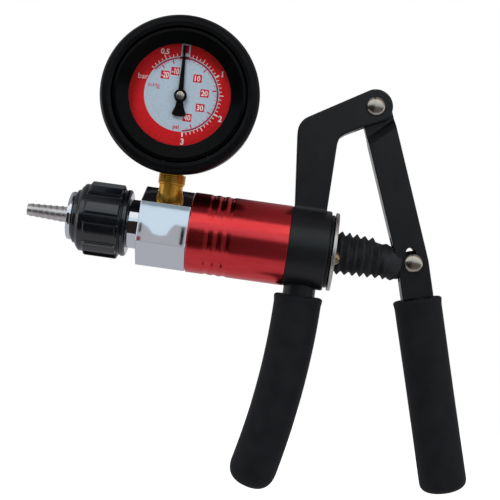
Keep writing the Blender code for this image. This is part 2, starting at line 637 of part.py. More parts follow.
def make_lever(root):
    """Lever with its tongue, its slot for the drive pin and the rubber grip."""
    at_pivot = (PIVOT[0], 0, PIVOT[1])
    axle = empty_at("lever_axle", at_pivot, root)
    lever = flat_plate("lever", [lever_outline()], ARM_HALF, "Y", at_pivot, axle, "black_paint")

    def down_lever(distance, lean=LEVER_LEAN):
        """A design point `distance` down the lever from the pin."""
        return (PIN_X + distance * math.sin(lean), 0.0, -distance * math.cos(lean))

    bar_ends = [down_lever(LEVER_GRIP_FROM - 6.0, GRIP_LEAN),
                down_lever(LEVER_GRIP_FROM + LEVER_GRIP_LONG - 8.0, GRIP_LEAN)]
    inner_bar = tube("lever_bar", bar_ends, BAR_R - 1.1, 16, at_pivot, axle)
    join(lever, inner_bar)

    # The tongue is thinner than the lever, and a ramp on each face leads out to full thickness.
    ramp_lean = math.radians(42.0)
    ramp = (10.1, 14.4)
    for side in (1, -1):
        outline = [(-30.0, side * TONGUE_HALF), (ramp[0], side * TONGUE_HALF),
                   (ramp[1], side * (ARM_HALF + 0.1)), (ramp[1], side * (ARM_HALF + 5.0)),
                   (-30.0, side * (ARM_HALF + 5.0))]
        cheek = flat_plate("tongue_cut_%d" % side, [outline], 25.0, "Z", at_pivot, axle)
        out = Matrix(((math.sin(ramp_lean), 0.0, math.cos(ramp_lean)),
                      (0.0, 1.0, 0.0),
                      (-math.cos(ramp_lean), 0.0, math.sin(ramp_lean))))
        cheek.rotation_euler = out.to_euler()
        cut(lever, cheek)

    # Channel for the rod's eye, right through the lever's edges, and the slot for the pin.
    channel = block_piece("eye_channel", (40.0, 2 * (EYE_HALF + GAP + 0.1), 22.0), down_lever(-3.6), axle)
    channel.rotation_euler = (0.0, -LEVER_LEAN, 0.0)
    slot_points = arc((0, 0), SLOT_HALF, 180.0, 360.0, 7) + arc((0, SLOT_UP + 0.3), SLOT_HALF, 0.0, 180.0, 7)
    slot = flat_plate("pin_slot", [slot_points], 12.0, "Y", (PIN_X, 0, 0), axle, spin=LEVER_LEAN)
    pivot_hole = rod_piece("lever_pivot_hole", PIVOT_R + GAP, 24.0, 14, "Y", at_pivot, axle)
    cut(lever, channel, slot, pivot_hole)

    top = -LEVER_GRIP_FROM
    low = top - LEVER_GRIP_LONG
    grip = turned("lever_grip",
                  [(top, BAR_R - 1.1 + GAP), (top, GRIP_R - 0.4), (top - 0.9, GRIP_R + 0.3),
                   (top - 4.0, GRIP_R), (low + 6.0, GRIP_R), (low + 2.6, GRIP_R - 1.2),
                   (low + 0.8, GRIP_R - 3.6), (low, GRIP_R - 7.0), (low, 0.0),
                   (low + 7.4, 0.0), (low + 7.4, BAR_R - 1.1 + GAP)],
                  24, "Z", (PIN_X, 0, 0), axle, "black_rubber")
    grip.rotation_euler = (0.0, -GRIP_LEAN, 0.0)


def gear_outline(pitch_r, step, first, count):
    """Teeth of a gear as straight-sided bumps; angles in degrees."""
    high = pitch_r + 0.75 * MODULE
    low = pitch_r - 0.95 * MODULE
    points = []
    for i in range(count):
        middle = first + i * step
        for turn, radius in ((-0.30, low), (-0.11, high), (0.11, high), (0.30, low)):
            angle = math.radians(middle + turn * step)
            points.append((radius * math.cos(angle), radius * math.sin(angle)))
    return points


def make_gauge(root):
    """Pressure gauge: rubber boot, case, bezel, lens, dial, and the movement behind the dial."""
    centre = (GAUGE[0], 0, GAUGE[1])
    case = turned("gauge_case",
                  [(-7.9, 0.0), (-7.9, 30.6), (11.4, 30.6), (11.4, 28.8), (13.0, 28.8),
                   (13.0, CASE_R), (-9.4, CASE_R), (-9.4, 0.0)],
                  28, "Y", centre, root, "black_paint", closed=False)
    boot = turned("gauge_boot",
                  [(18.6, 32.9), (19.8, 34.4), (19.2, 37.0), (16.4, 38.4), (12.0, BOOT_R),
                   (-6.5, BOOT_R), (-10.4, 37.4), (-11.8, 34.5), (-11.8, 24.0), (-9.8, 24.0),
                   (-9.8, 32.7)],
                  32, "Y", centre, root, "black_rubber")
    turned("gauge_bezel",
           [(18.2, 30.6), (17.6, 32.3), (13.4, 32.3), (13.4, 30.3), (15.6, 30.3), (15.6, 24.6),
            (16.2, 24.6)],
           28, "Y", centre, root, "black_plastic")
    turned("gauge_lens", [(15.3, 0.0), (15.3, 29.9), (13.4, 29.9), (13.4, 0.0)],
           28, "Y", centre, root, "glass", closed=False)
    turned("gauge_dial", [(DIAL_Z[1], 1.6), (DIAL_Z[1], DIAL_R), (DIAL_Z[0], DIAL_R), (DIAL_Z[0], 1.6)],
           28, "Y", centre, root, "dial_red")

    stem_top = GAUGE[1] - CASE_R + 4.2
    stem = turned("gauge_stem",
                  [(stem_top, 0.0), (stem_top, 5.3), (26.8, 5.3), (26.8, 6.3), (23.4, 6.2),
                   (19.9, 5.5), (16.5, 5.5), (16.5, 4.9), (10.4, 4.9), (10.4, 0.0)],
                  20, "Z", (STEM_X, 0, 0), root, "brass", closed=False)
    block_top = GAUGE[1] - 21.5
    block_low = stem_top - 0.9
    join(stem, block_piece("socket_block", (12.0, 6.8, block_top - block_low),
                           (GAUGE[0], 0.0, (block_top + block_low) / 2), root))
    drilled = block_top - 4.0
    cut(stem, rod_piece("stem_drill", 1.4, drilled - 8.0, 10, "Z",
                        (STEM_X, 0, (drilled + 8.0) / 2), root))
    for piece, bottom in ((case, 5.6), (boot, 6.7)):
        cut(piece, rod_piece(piece.name + "_stem_hole", bottom, 20.0, 20, "Z",
                             (STEM_X, 0, GAUGE[1] - CASE_R), root))
    make_movement(root, centre)


def make_movement(root, centre):
    """Bourdon tube, link, toothed sector, pinion and needle."""
    layer = 1.1                                    # middle of the tube and the gears, in front of Y = 0
    points = []
    for i in range(19):
        angle = math.radians(-72.0 + 267.0 * i / 18)
        points.append((GAUGE[0] + 22.5 * math.cos(angle), -layer, GAUGE[1] + 22.5 * math.sin(angle)))
    bourdon = tube("bourdon_tube", points, 1.5, 8, centre, root, "brass")
    tip = points[-1]
    tail = (GAUGE[0] - 3.6, GAUGE[1] - GEAR_CENTRES - 4.9)
    link_layer = 4.0
    post_low = 2.3
    post_high = 4.6
    join(bourdon, rod_piece("tip_post", 0.6, post_high - post_low + 1.0, 8, "Y",
                            (tip[0] + 0.3, -(post_low + post_high - 1.0) / 2, tip[2] + 0.5), root))

    plate = [(-6.5, -19.0), (6.5, -19.0), (6.5, 5.0), (3.0, 7.0), (-3.0, 7.0), (-6.5, 5.0)]
    axle_hole = arc((0, 0), 1.1, 0.0, 315.0, 8)
    pivot_hole = arc((0, -GEAR_CENTRES), 1.1, 0.0, 315.0, 8)
    post_places = ((-5.2, 4.2), (5.2, -12.0))
    post_holes = [arc(where, 1.3, 0.0, 315.0, 8) for where in post_places]
    for name, z in (("movement_plate_back", -3.6), ("movement_plate_front", 6.4)):
        flat_plate(name, [plate, axle_hole, pivot_hole] + post_holes, 0.5, "Y",
                   (GAUGE[0], -z, GAUGE[1]), root, "brass")
    for word, (x, z) in zip(("upper", "lower"), post_places):
        outline = [(8.6, 0.0), (8.6, 1.0), (5.6, 1.0), (5.6, 1.7), (-2.8, 1.7), (-2.8, 1.0),
                   (-4.6, 1.0), (-4.6, 0.0)]
        turned("movement_post_" + word, outline, 8, "Y", (GAUGE[0] + x, 0, GAUGE[1] + z), root,
               "brass", closed=False)

    sector_at = (GAUGE[0], -layer, GAUGE[1] - GEAR_CENTRES)
    sector_r = MODULE * SECTOR_FULL_TEETH / 2
    step = 360.0 / SECTOR_FULL_TEETH
    first = 90.0 - 1.5 * step
    teeth = gear_outline(sector_r, step, first, SECTOR_TEETH)
    low_r = sector_r - 0.95 * MODULE
    last = first + (SECTOR_TEETH - 1) * step
    outline = teeth + arc((0, 0), low_r, last + 3.0, last + 4.0, 2)
    outline += [(-3.0, 1.0), (-4.4, -5.6), (-2.6, -5.9), (2.2, -1.6), (2.4, 1.0)]
    outline += arc((0, 0), low_r, first - 4.0, first - 3.0, 2)
    sector = flat_plate("sector_gear", [outline], 0.6, "Y", sector_at, root, "brass")
    join(sector,
         rod_piece("sector_axle", 0.8, 10.4, 8, "Y", (GAUGE[0], -1.4, GAUGE[1] - GEAR_CENTRES), root),
         rod_piece("tail_post", 0.55, 4.0, 8, "Y", (tail[0], -2.9, tail[1]), root))

    pinion_r = MODULE * PINION_TEETH / 2
    pinion = flat_plate("pinion_arbor",
                        [gear_outline(pinion_r, 360.0 / PINION_TEETH, -90.0, PINION_TEETH)],
                        1.0, "Y", (GAUGE[0], -layer, GAUGE[1]), root, "steel")
    join(pinion, rod_piece("arbor_shaft", 0.75, 16.0, 8, "Y", (GAUGE[0], -3.8, GAUGE[1]), root))

    reach = Vector((tip[0] + 0.3 - tail[0], tip[2] + 0.5 - tail[1]))
    slot_from = reach.length - 1.0                 # the sector draws the link past the tube's tip
    slot_to = reach.length + 2.3
    slot_r = 1.2                                   # the link also shifts 0.5 mm sideways on its way
    half = 1.8
    link = [(-half, -half), (slot_to + 2.0, -half), (slot_to + 2.0, half), (-half, half)]
    tail_hole = arc((0, 0), 0.85, 0.0, 315.0, 8)
    tip_slot = (arc((slot_from, 0), slot_r, 90.0, 270.0, 5)
                + arc((slot_to, 0), slot_r, -90.0, 90.0, 5))
    made = flat_plate("movement_link", [link, tail_hole, tip_slot], 0.3, "Y",
                      (tail[0], -link_layer, tail[1]), root, "brass")
    made.rotation_euler = (math.pi / 2, -math.atan2(reach.y, reach.x), 0.0)

    needle_outline = [(-0.35, 24.5), (-1.1, 3.2), (-1.5, -2.5), (-3.3, -6.6), (-2.2, -9.7),
                      (2.2, -9.7), (3.3, -6.6), (1.5, -2.5), (1.1, 3.2), (0.35, 24.5)]
    needle = flat_plate("gauge_needle", [needle_outline], 0.3, "Y",
                        (GAUGE[0], -10.9, GAUGE[1]), root, "black_paint")
    hub = turned("needle_hub", [(12.6, 0.0), (12.6, 2.6), (12.2, 3.1), (10.2, 3.1), (10.2, 0.0)],
                 16, "Y", centre, root, closed=False)
    join(needle, hub)
    cut(needle, rod_piece("needle_bore", 1.05, 3.2, 8, "Y", (GAUGE[0], -10.5, GAUGE[1]), root))


clear_scene()
parts = new_collection("hand_vacuum_pump")
cutters = new_collection("cutters")
pump_root = empty_at("pump_root", HOLD)
make_hose_end(pump_root)
make_knob(pump_root)
make_block(pump_root)
make_barrel(pump_root)
make_rod(pump_root)
make_bellows(pump_root)
make_frame(pump_root)
make_lever(pump_root)
make_gauge(pump_root)
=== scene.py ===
import json
import math

import bmesh
import bpy
from mathutils import Matrix, Vector


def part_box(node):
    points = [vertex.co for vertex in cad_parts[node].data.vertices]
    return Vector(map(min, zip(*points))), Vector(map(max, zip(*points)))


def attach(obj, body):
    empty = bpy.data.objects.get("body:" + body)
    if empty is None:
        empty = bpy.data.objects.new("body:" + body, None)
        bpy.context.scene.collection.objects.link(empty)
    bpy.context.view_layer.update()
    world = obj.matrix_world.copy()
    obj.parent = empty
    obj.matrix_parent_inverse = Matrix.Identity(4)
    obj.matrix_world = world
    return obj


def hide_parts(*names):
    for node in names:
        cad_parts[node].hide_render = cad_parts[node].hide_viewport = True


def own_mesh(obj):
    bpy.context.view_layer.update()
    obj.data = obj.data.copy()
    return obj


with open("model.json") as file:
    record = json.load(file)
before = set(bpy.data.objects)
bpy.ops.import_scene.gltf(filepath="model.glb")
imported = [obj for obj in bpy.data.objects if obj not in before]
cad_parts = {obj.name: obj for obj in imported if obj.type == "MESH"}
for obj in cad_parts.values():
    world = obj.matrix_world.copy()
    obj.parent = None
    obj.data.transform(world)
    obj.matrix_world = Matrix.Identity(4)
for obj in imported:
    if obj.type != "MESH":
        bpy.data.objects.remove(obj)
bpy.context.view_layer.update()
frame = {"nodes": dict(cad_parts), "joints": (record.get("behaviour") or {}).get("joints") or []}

# Hand vacuum pump. Lengths are in millimetres in the frame's own directions:
# X along the barrel towards the lever, Z up, and the dial faces -Y.
mm = 0.001


def boxOf(node):
    low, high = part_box(node)
    return [c / mm for c in low], [c / mm for c in high]


def middleOf(node):
    low, high = boxOf(node)
    return [(a + b) / 2 for a, b in zip(low, high)]


def jointAt(name):
    joint = next(j for j in frame["joints"] if j["name"] == name)
    return [c / mm for c in joint["pos_m"]]


axisZ = middleOf("pump_barrel")[2]          # centre line of the barrel, knob and barb
pivotX, _, pivotZ = jointAt("lever_pivot")
pinX = middleOf("drive_pin")[0]
gaugeX, _, gaugeZ = jointAt("needle_turn")
zeroX = boxOf("pump_barrel")[0][0] + 24.9   # lengths along the barrel are measured from its middle
root = "pump_body"


def spot(x, z):
    # a point given from the barrel's middle and axis
    return (x + zeroX, z + axisZ)


def upright(place):
    # an (X, Z) pair as a Vector in the pump's middle plane
    return Vector((place[0], 0, place[1]))


def toLinear(hexColour):
    # sRGB hex to the linear colour that a shader takes
    out = []
    for i in (0, 2, 4):
        c = int(hexColour[i:i + 2], 16) / 255
        out.append(c / 12.92 if c <= 0.04045 else ((c + 0.055) / 1.055) ** 2.4)
    return (*out, 1.0)


def addNode(tree, kind, values=None, links=None, **settings):
    # a node with its settings, its socket values and its incoming links
    node = tree.nodes.new(kind)
    for key, value in settings.items():
        setattr(node, key, value)
    for socket, value in (values or {}).items():
        node.inputs[socket].default_value = value
    for socket, source in (links or {}).items():
        tree.links.new(source, node.inputs[socket])
    return node


def perMm(size):
    # texture scale for features of this many millimetres, in object coordinates
    return 1 / (size * mm)


def bandsPerMm(spacing):
    # wave texture scale for bands this many millimetres apart; the texture runs 20 radians to a unit
    return perMm(spacing) * math.pi / 10


def newMaterial(name, colour, metallic, roughness, **sockets):
    # a material with its Principled shader; the surface's patterns are linked in afterwards
    material = bpy.data.materials.new(name)
    material.use_nodes = True
    tree = material.node_tree
    shader = tree.nodes["Principled BSDF"]
    shader.inputs["Base Color"].default_value = toLinear(colour)
    shader.inputs["Metallic"].default_value = metallic
    shader.inputs["Roughness"].default_value = roughness
    for socket, value in sockets.items():
        shader.inputs[socket.replace("_", " ")].default_value = value
    where = addNode(tree, "ShaderNodeTexCoord").outputs["Object"]
    return material, tree, shader, where


def twoTones(tree, shader, factor, dark, light, low=0.35, high=0.65):
    # base colour that drifts between two tones as a pattern rises and falls
    ramp = addNode(tree, "ShaderNodeValToRGB", links={"Fac": factor})
    ramp.color_ramp.elements[0].position = low
    ramp.color_ramp.elements[0].color = toLinear(dark)
    ramp.color_ramp.elements[1].position = high
    ramp.color_ramp.elements[1].color = toLinear(light)
    tree.links.new(ramp.outputs["Color"], shader.inputs["Base Color"])


def roughBetween(tree, shader, factor, low, high):
    # roughness that follows a pattern between two values
    spread = addNode(tree, "ShaderNodeMapRange", {"To Min": low, "To Max": high}, {"Value": factor})
    tree.links.new(spread.outputs["Result"], shader.inputs["Roughness"])


def emboss(tree, shader, factor, height):
    # bump of this many millimetres from a pattern
    bump = addNode(tree, "ShaderNodeBump", {"Distance": height * mm}, {"Height": factor})
    tree.links.new(bump.outputs["Normal"], shader.inputs["Normal"])


print("stage: materials")

chromeLook = {"colour": "E4E8ED", "rough": (0.01, 0.035), "wave": 14.0, "waveHigh": 0.005, "smear": 3.0}


def chromePlate():
    # buffed steel under bright chrome: a cold mirror, its flats a little wavy from the buffing wheel
    material, tree, shader, where = newMaterial("chromePlate", chromeLook["colour"], 1.0,
                                                chromeLook["rough"][1])
    wave = addNode(tree, "ShaderNodeTexNoise", {"Scale": perMm(chromeLook["wave"]), "Detail": 1.0},
                   {"Vector": where}).outputs["Fac"]
    smear = addNode(tree, "ShaderNodeTexNoise", {"Scale": perMm(chromeLook["smear"]), "Detail": 4.0},
                    {"Vector": where}).outputs["Fac"]
    roughBetween(tree, shader, smear, *chromeLook["rough"])
    emboss(tree, shader, wave, chromeLook["waveHigh"])
    return material


steelLook = {"tarnish": 5.0, "rings": 0.987, "ringHigh": 0.004}


def turnedSteel(name, colour, dark, roughness):
    # bright turned steel: rings left by the tool blur its reflections, with faint tarnish; the rings are
    # drawn about 1 mm apart, coarser than real tool marks, so that they show
    material, tree, shader, where = newMaterial(name, colour, 1.0, roughness)
    cloud = addNode(tree, "ShaderNodeTexNoise", {"Scale": perMm(steelLook["tarnish"]), "Detail": 5.0},
                    {"Vector": where}).outputs["Fac"]
    twoTones(tree, shader, cloud, dark, colour)
    rings = addNode(tree, "ShaderNodeTexWave",
                    {"Scale": bandsPerMm(steelLook["rings"]), "Distortion": 1.5, "Detail": 2.0},
                    {"Vector": where}, bands_direction="X").outputs["Fac"]
    roughBetween(tree, shader, rings, roughness * 0.8, roughness * 1.3)
    emboss(tree, shader, rings, steelLook["ringHigh"])
    return material


def turnedBrass():
    # turned yellow brass gone slightly brown: warm, half-sharp reflections
    material, tree, shader, where = newMaterial("turnedBrass", "D9A23A", 1.0, 0.3)
    squash = addNode(tree, "ShaderNodeMapping", {"Scale": (1.0, 1.0, 0.12)}, {"Vector": where})
    cloud = addNode(tree, "ShaderNodeTexNoise", {"Scale": perMm(1.8), "Detail": 3.0},
                    {"Vector": squash.outputs["Vector"]}).outputs["Fac"]
    twoTones(tree, shader, cloud, "CB8A26", "EDB850")
    roughBetween(tree, shader, cloud, 0.28, 0.4)
    return material


def redAnodised():
    # turned aluminium, anodised red: the dye tints every reflection and tool rings blur it; the rings
    # are drawn 0.79 mm apart, coarser than real tool marks, so that they show
    material, tree, shader, where = newMaterial("redAnodisedAluminium", "E3343A", 1.0, 0.2)
    rings = addNode(tree, "ShaderNodeTexWave", {"Scale": bandsPerMm(0.79), "Distortion": 0.6, "Detail": 2.0},
                    {"Vector": where}, bands_direction="X").outputs["Fac"]
    squash = addNode(tree, "ShaderNodeMapping", {"Scale": (0.15, 1.0, 1.0)}, {"Vector": where})
    streak = addNode(tree, "ShaderNodeTexNoise", {"Scale": perMm(2.2), "Detail": 3.0},
                     {"Vector": squash.outputs["Vector"]}).outputs["Fac"]
    twoTones(tree, shader, streak, "E23F44", "EC494C")
    roughBetween(tree, shader, streak, 0.19, 0.24)
    emboss(tree, shader, rings, 0.003)
    return material


def satinEnamel():
    # satin black enamel sprayed on a casting: dark with a broad soft shine and a faint orange peel
    material, tree, shader, where = newMaterial("satinBlackEnamel", "111315", 0.0, 0.35,
                                                Specular_IOR_Level=0.36)
    peel = addNode(tree, "ShaderNodeTexNoise", {"Scale": perMm(0.9), "Detail": 2.0},
                   {"Vector": where}).outputs["Fac"]
    cloud = addNode(tree, "ShaderNodeTexNoise", {"Scale": perMm(14.0), "Detail": 4.0},
                    {"Vector": where}).outputs["Fac"]
    twoTones(tree, shader, cloud, "0E0F11", "131517")
    roughBetween(tree, shader, cloud, 0.3, 0.4)
    emboss(tree, shader, peel, 0.02)
    return material


def mouldedAbs(name, colour, light, low, high, shine):
    # injection-moulded ABS, fine spark texture: near black, a cool sheen on what faces the light
    material, tree, shader, where = newMaterial(name, colour, 0.0, low, Specular_IOR_Level=shine)
    grain = addNode(tree, "ShaderNodeTexNoise", {"Scale": perMm(0.35), "Detail": 3.0},
                    {"Vector": where}).outputs["Fac"]
    cloud = addNode(tree, "ShaderNodeTexNoise", {"Scale": perMm(7.0), "Detail": 3.0},
                    {"Vector": where}).outputs["Fac"]
    twoTones(tree, shader, cloud, colour, light)
    roughBetween(tree, shader, grain, low, high)
    emboss(tree, shader, grain, 0.006)
    return material


def softRubber(name, dark, light, low, high, grainSize, grainHigh, shine):
    # matt rubber: no clear reflection, only a pale bloom and its own grain
    material, tree, shader, where = newMaterial(name, dark, 0.0, high, Specular_IOR_Level=shine)
    grain = addNode(tree, "ShaderNodeTexNoise", {"Scale": perMm(grainSize), "Detail": 3.0, "Roughness": 0.7},
                    {"Vector": where}).outputs["Fac"]
    bloom = addNode(tree, "ShaderNodeTexNoise", {"Scale": perMm(9.0), "Detail": 4.0},
                    {"Vector": where}).outputs["Fac"]
    twoTones(tree, shader, bloom, dark, light)
    roughBetween(tree, shader, bloom, low, high)
    emboss(tree, shader, grain, grainHigh)
    return material


def enamelPrint(name, colour, dark):
    # screen-printed enamel on a dial plate: flat even colour, faint mottle of the ink
    material, tree, shader, where = newMaterial(name, colour, 0.0, 0.6, Specular_IOR_Level=0.05)
    mottle = addNode(tree, "ShaderNodeTexNoise", {"Scale": perMm(1.2), "Detail": 2.0},
                     {"Vector": where}).outputs["Fac"]
    twoTones(tree, shader, mottle, dark, colour)
    return material


def clearLens():
    # clear acrylic window: nearly unseen, a thin shine where it turns away; the light shines through it
    material, tree, shader, where = newMaterial("clearAcrylic", "FFFFFF", 0.0, 0.03,
                                                Transmission_Weight=1.0, IOR=1.49)
    haze = addNode(tree, "ShaderNodeTexNoise", {"Scale": perMm(6.0), "Detail": 3.0},
                   {"Vector": where}).outputs["Fac"]
    roughBetween(tree, shader, haze, 0.0, 0.02)
    path = addNode(tree, "ShaderNodeLightPath")
    through = addNode(tree, "ShaderNodeMath", links={0: path.outputs["Is Shadow Ray"],
                                                     1: path.outputs["Is Diffuse Ray"]}, operation="MAXIMUM")
    clear = addNode(tree, "ShaderNodeBsdfTransparent")
    mix = addNode(tree, "ShaderNodeMixShader", links={"Fac": through.outputs[0]})
    tree.links.new(shader.outputs["BSDF"], mix.inputs[1])
    tree.links.new(clear.outputs["BSDF"], mix.inputs[2])
    tree.links.new(mix.outputs["Shader"], tree.nodes["Material Output"].inputs["Surface"])
    return material


chrome = chromePlate()
steel = turnedSteel("turnedSteel", "D8D4CE", "C2BCB3", 0.33)
barbSteel = turnedSteel("fineTurnedSteel", "E4E1DF", "CFCAC7", 0.34)
rodSteel = turnedSteel("oiledSteel", "3B3A3A", "252424", 0.5)
platedSteel = turnedSteel("zincPlatedSteel", "DCDAD4", "C9C5BC", 0.34)
screwSteel = turnedSteel("tarnishedSteel", "C3B48E", "94805A", 0.3)
domeSteel = turnedSteel("polishedSteel", "C6BFB2", "A9A295", 0.22)
brass = turnedBrass()
redMetal = redAnodised()
enamel = satinEnamel()
knobAbs = mouldedAbs("mouldedBlackAbs", "080B10", "0C1117", 0.14, 0.22, 0.9)
bezelAbs = mouldedAbs("glossBlackAbs", "050606", "080809", 0.14, 0.22, 0.06)
gripVinyl = softRubber("dippedVinyl", "101215", "17191C", 0.6, 0.78, 0.55, 0.06, 0.2)
bellowsRubber = softRubber("mouldedNeoprene", "1B1C1E", "26282B", 0.5, 0.66, 0.8, 0.05, 0.25)
bootRubber = softRubber("mouldedNitrile", "08090A", "0B0C0E", 0.36, 0.46, 0.7, 0.02, 0.1)
bareAluminium = turnedSteel("bareAluminium", "CDCFD2", "B4B7BB", 0.3)
sealRubber = softRubber("sealNitrile", "121314", "1A1B1C", 0.4, 0.6, 0.5, 0.01, 0.3)
dialRed = enamelPrint("redEnamel", "CE2226", "C01C22")
dialPale = enamelPrint("paleEnamel", "B4C4D2", "AABBCB")
printWhite = enamelPrint("whiteInk", "F1DFE0", "E6CFD1")
printRed = enamelPrint("redInk", "C5283A", "B01F32")
printBlack = enamelPrint("blackInk", "1C1719", "120F10")
needleBlack = enamelPrint("mattBlackLacquer", "0B0B0C", "070708")
lensClear = clearLens()

print("stage: mesh helpers")


def rounded(points, radius, closed=True, steps=4):
    # a polyline with its corners drawn as arcs; a third number in a point is that corner's radius
    out = []
    for i, point in enumerate(points):
        here = Vector(point[:2])
        corner = point[2] if len(point) > 2 else radius
        atEnd = not closed and i in (0, len(points) - 1)
        toLast = Vector(points[i - 1][:2]) - here
        toNext = Vector(points[(i + 1) % len(points)][:2]) - here
        if atEnd or corner <= 0 or toLast.length < 1e-6 or toNext.length < 1e-6:
            out.append(tuple(here))
            continue
        half = toLast.angle(toNext) / 2
        if half > math.radians(88):
            out.append(tuple(here))
            continue
        reach = min(corner / math.tan(half), 0.48 * toLast.length, 0.48 * toNext.length)
        centre = here + (toLast.normalized() + toNext.normalized()).normalized() * (reach / math.cos(half))
        first = here + toLast.normalized() * reach - centre
        last = here + toNext.normalized() * reach - centre
        sweep = first.angle_signed(last)
        for k in range(steps + 1):
            spun = Matrix.Rotation(-sweep * k / steps, 2) @ first
            out.append(tuple(centre + spun))
    return out


def arcPoints(centre, radius, start, end, count):
    # points on an arc, degrees, both ends included
    out = []
    for i in range(count):
        a = math.radians(start + (end - start) * i / (count - 1))
        out.append((centre[0] + radius * math.cos(a), centre[1] + radius * math.sin(a)))
    return out


def turned(profile, axis, centre, segments=96, closed=True):
    # a turned shape; profile holds (place along the axis, radius)
    shape = bmesh.new()
    rings = []
    for along, radius in profile:
        ring = []
        for i in range(segments if radius > 0.001 else 1):
            a = 2 * math.pi * i / segments
            u, v = radius * math.cos(a), radius * math.sin(a)
            place = {"X": (along, centre[1] + u, centre[2] + v),
                     "Y": (centre[0] + u, along, centre[2] + v),
                     "Z": (centre[0] + u, centre[1] + v, along)}[axis]
            ring.append(shape.verts.new([c * mm for c in place]))
        rings.append(ring)
    pairs = list(zip(rings, rings[1:]))
    if closed:
        pairs.append((rings[-1], rings[0]))
    for a, b in pairs:
        for i in range(segments):
            j = (i + 1) % segments
            corners = [a[i % len(a)], a[j % len(a)], b[j % len(b)], b[i % len(b)]]
            corners = list(dict.fromkeys(corners))
            if len(corners) > 2:
                shape.faces.new(corners)
    return shape


def plate(outline, low, high, soft=0.0, steps=3):
    # an outline of (X, Z) with thickness from Y low to Y high and softened rims
    shape = bmesh.new()
    face = shape.faces.new([shape.verts.new((x * mm, low * mm, z * mm)) for x, z in outline])
    grown = bmesh.ops.extrude_face_region(shape, geom=[face])
    moved = [v for v in grown["geom"] if isinstance(v, bmesh.types.BMVert)]
    bmesh.ops.translate(shape, vec=(0, (high - low) * mm, 0), verts=moved)
    if soft:
        rims = [e for e in shape.edges if abs(e.verts[0].co.y - e.verts[1].co.y) < 1e-9]
        bmesh.ops.bevel(shape, geom=rims, offset=soft * mm, segments=steps, affect="EDGES", profile=0.5)
    return shape


def loft(rings):
    # a closed skin over rings with one count of points
    shape = bmesh.new()
    rows = [[shape.verts.new(Vector(place) * mm) for place in ring] for ring in rings]
    for one, two in zip(rows, rows[1:]):
        for i in range(len(one)):
            j = (i + 1) % len(one)
            shape.faces.new((one[i], one[j], two[j], two[i]))
    shape.faces.new(rows[0])
    shape.faces.new(rows[-1])
    return shape


def swept(path, radii, segments=64):
    # a round bar along a path of Vectors in the XZ plane, one radius per point
    rings = []
    for i, (here, radius) in enumerate(zip(path, radii)):
        ahead = (path[min(i + 1, len(path) - 1)] - path[max(i - 1, 0)]).normalized()
        side = Vector((ahead.z, 0, -ahead.x))
        turns = [2 * math.pi * k / segments for k in range(segments)]
        rings.append([here + side * (radius * math.cos(a)) + Vector((0, radius * math.sin(a), 0))
                      for a in turns])
    return loft(rings)


def rod(axis, along, centre, radius, segments):
    # a plain round bar; centre holds its two other coordinates
    low, high = along
    place = {"X": (0, *centre), "Y": (centre[0], 0, centre[1]), "Z": (*centre, 0)}[axis]
    return turned([(low, 0), (low, radius), (high, radius), (high, 0)], axis, place, segments, closed=False)


def toObject(name, shape):
    bmesh.ops.recalc_face_normals(shape, faces=shape.faces)
    mesh = bpy.data.meshes.new(name)
    shape.to_mesh(mesh)
    shape.free()
    piece = bpy.data.objects.new(name, mesh)
    bpy.context.scene.collection.objects.link(piece)
    return piece


def carve(piece, tool, operation="DIFFERENCE"):
    # one boolean step, kept in the mesh
    step = piece.modifiers.new("step", "BOOLEAN")
    step.operation = operation
    step.object = tool
    graph = bpy.context.evaluated_depsgraph_get()
    done = bpy.data.meshes.new_from_object(piece.evaluated_get(graph))
    piece.modifiers.clear()
    piece.data = done
    bpy.data.objects.remove(tool, do_unlink=True)


def drill(piece, axis, along, centre, radius, segments):
    carve(piece, toObject("drill", rod(axis, along, centre, radius, segments)))


def onBarrel(name, outline, segments=128):
    # a turned piece on the barrel's axis
    return toObject(name, turned(rounded(outline, 0.0), "X", (0, 0, axisZ), segments))


def boxAround(u, v, wide, high):
    # the corners of a rectangle about its middle
    return [(u - wide / 2, v - high / 2), (u + wide / 2, v - high / 2), (u + wide / 2, v + high / 2),
            (u - wide / 2, v + high / 2)]


def dress(piece, material, body, nodes=(), sharp=35.0, even=True):
    # finish of a piece, the body it rides on and the CAD nodes it stands for
    if even:
        # flat faces keep their own normal, and only the softened rims turn
        weight = piece.modifiers.new("flats", "WEIGHTED_NORMAL")
        weight.keep_sharp = True
        weight.weight = 100
    piece.data.materials.clear()
    piece.data.materials.append(material)
    piece.data.shade_smooth()
    piece.data.set_sharp_from_angle(angle=math.radians(sharp))
    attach(piece, body)
    if nodes:
        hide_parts(*nodes)


print("stage: hose end and knob")

barb = {"teeth": 7, "rootHigh": 4.1, "tipHigh": 3.2, "step": 0.45, "bore": 1.8}


def makeBarb():
    tip = boxOf("hose_barb")[0][0]
    base = boxOf("nozzle_flange")[0][0]
    pitch = (base - tip) / barb["teeth"]
    outline = [(base + 2.0, barb["bore"]), (base + 2.0, barb["rootHigh"])]
    for i in range(barb["teeth"]):
        start = base - i * pitch
        high = barb["rootHigh"] + (barb["tipHigh"] - barb["rootHigh"]) * i / (barb["teeth"] - 1)
        outline += [(start, high - barb["step"] * 0.5, 0.1), (start - 0.25 * pitch, high, 0.25),
                    (start - pitch + 0.1, high - barb["step"], 0.2)]
    outline += [(tip, barb["tipHigh"] - barb["step"], 0.3), (tip, barb["bore"], 0.2)]
    dress(onBarrel("barb", outline, 96), barbSteel, root, ["hose_barb"])


flange = {"bore": 4.4}


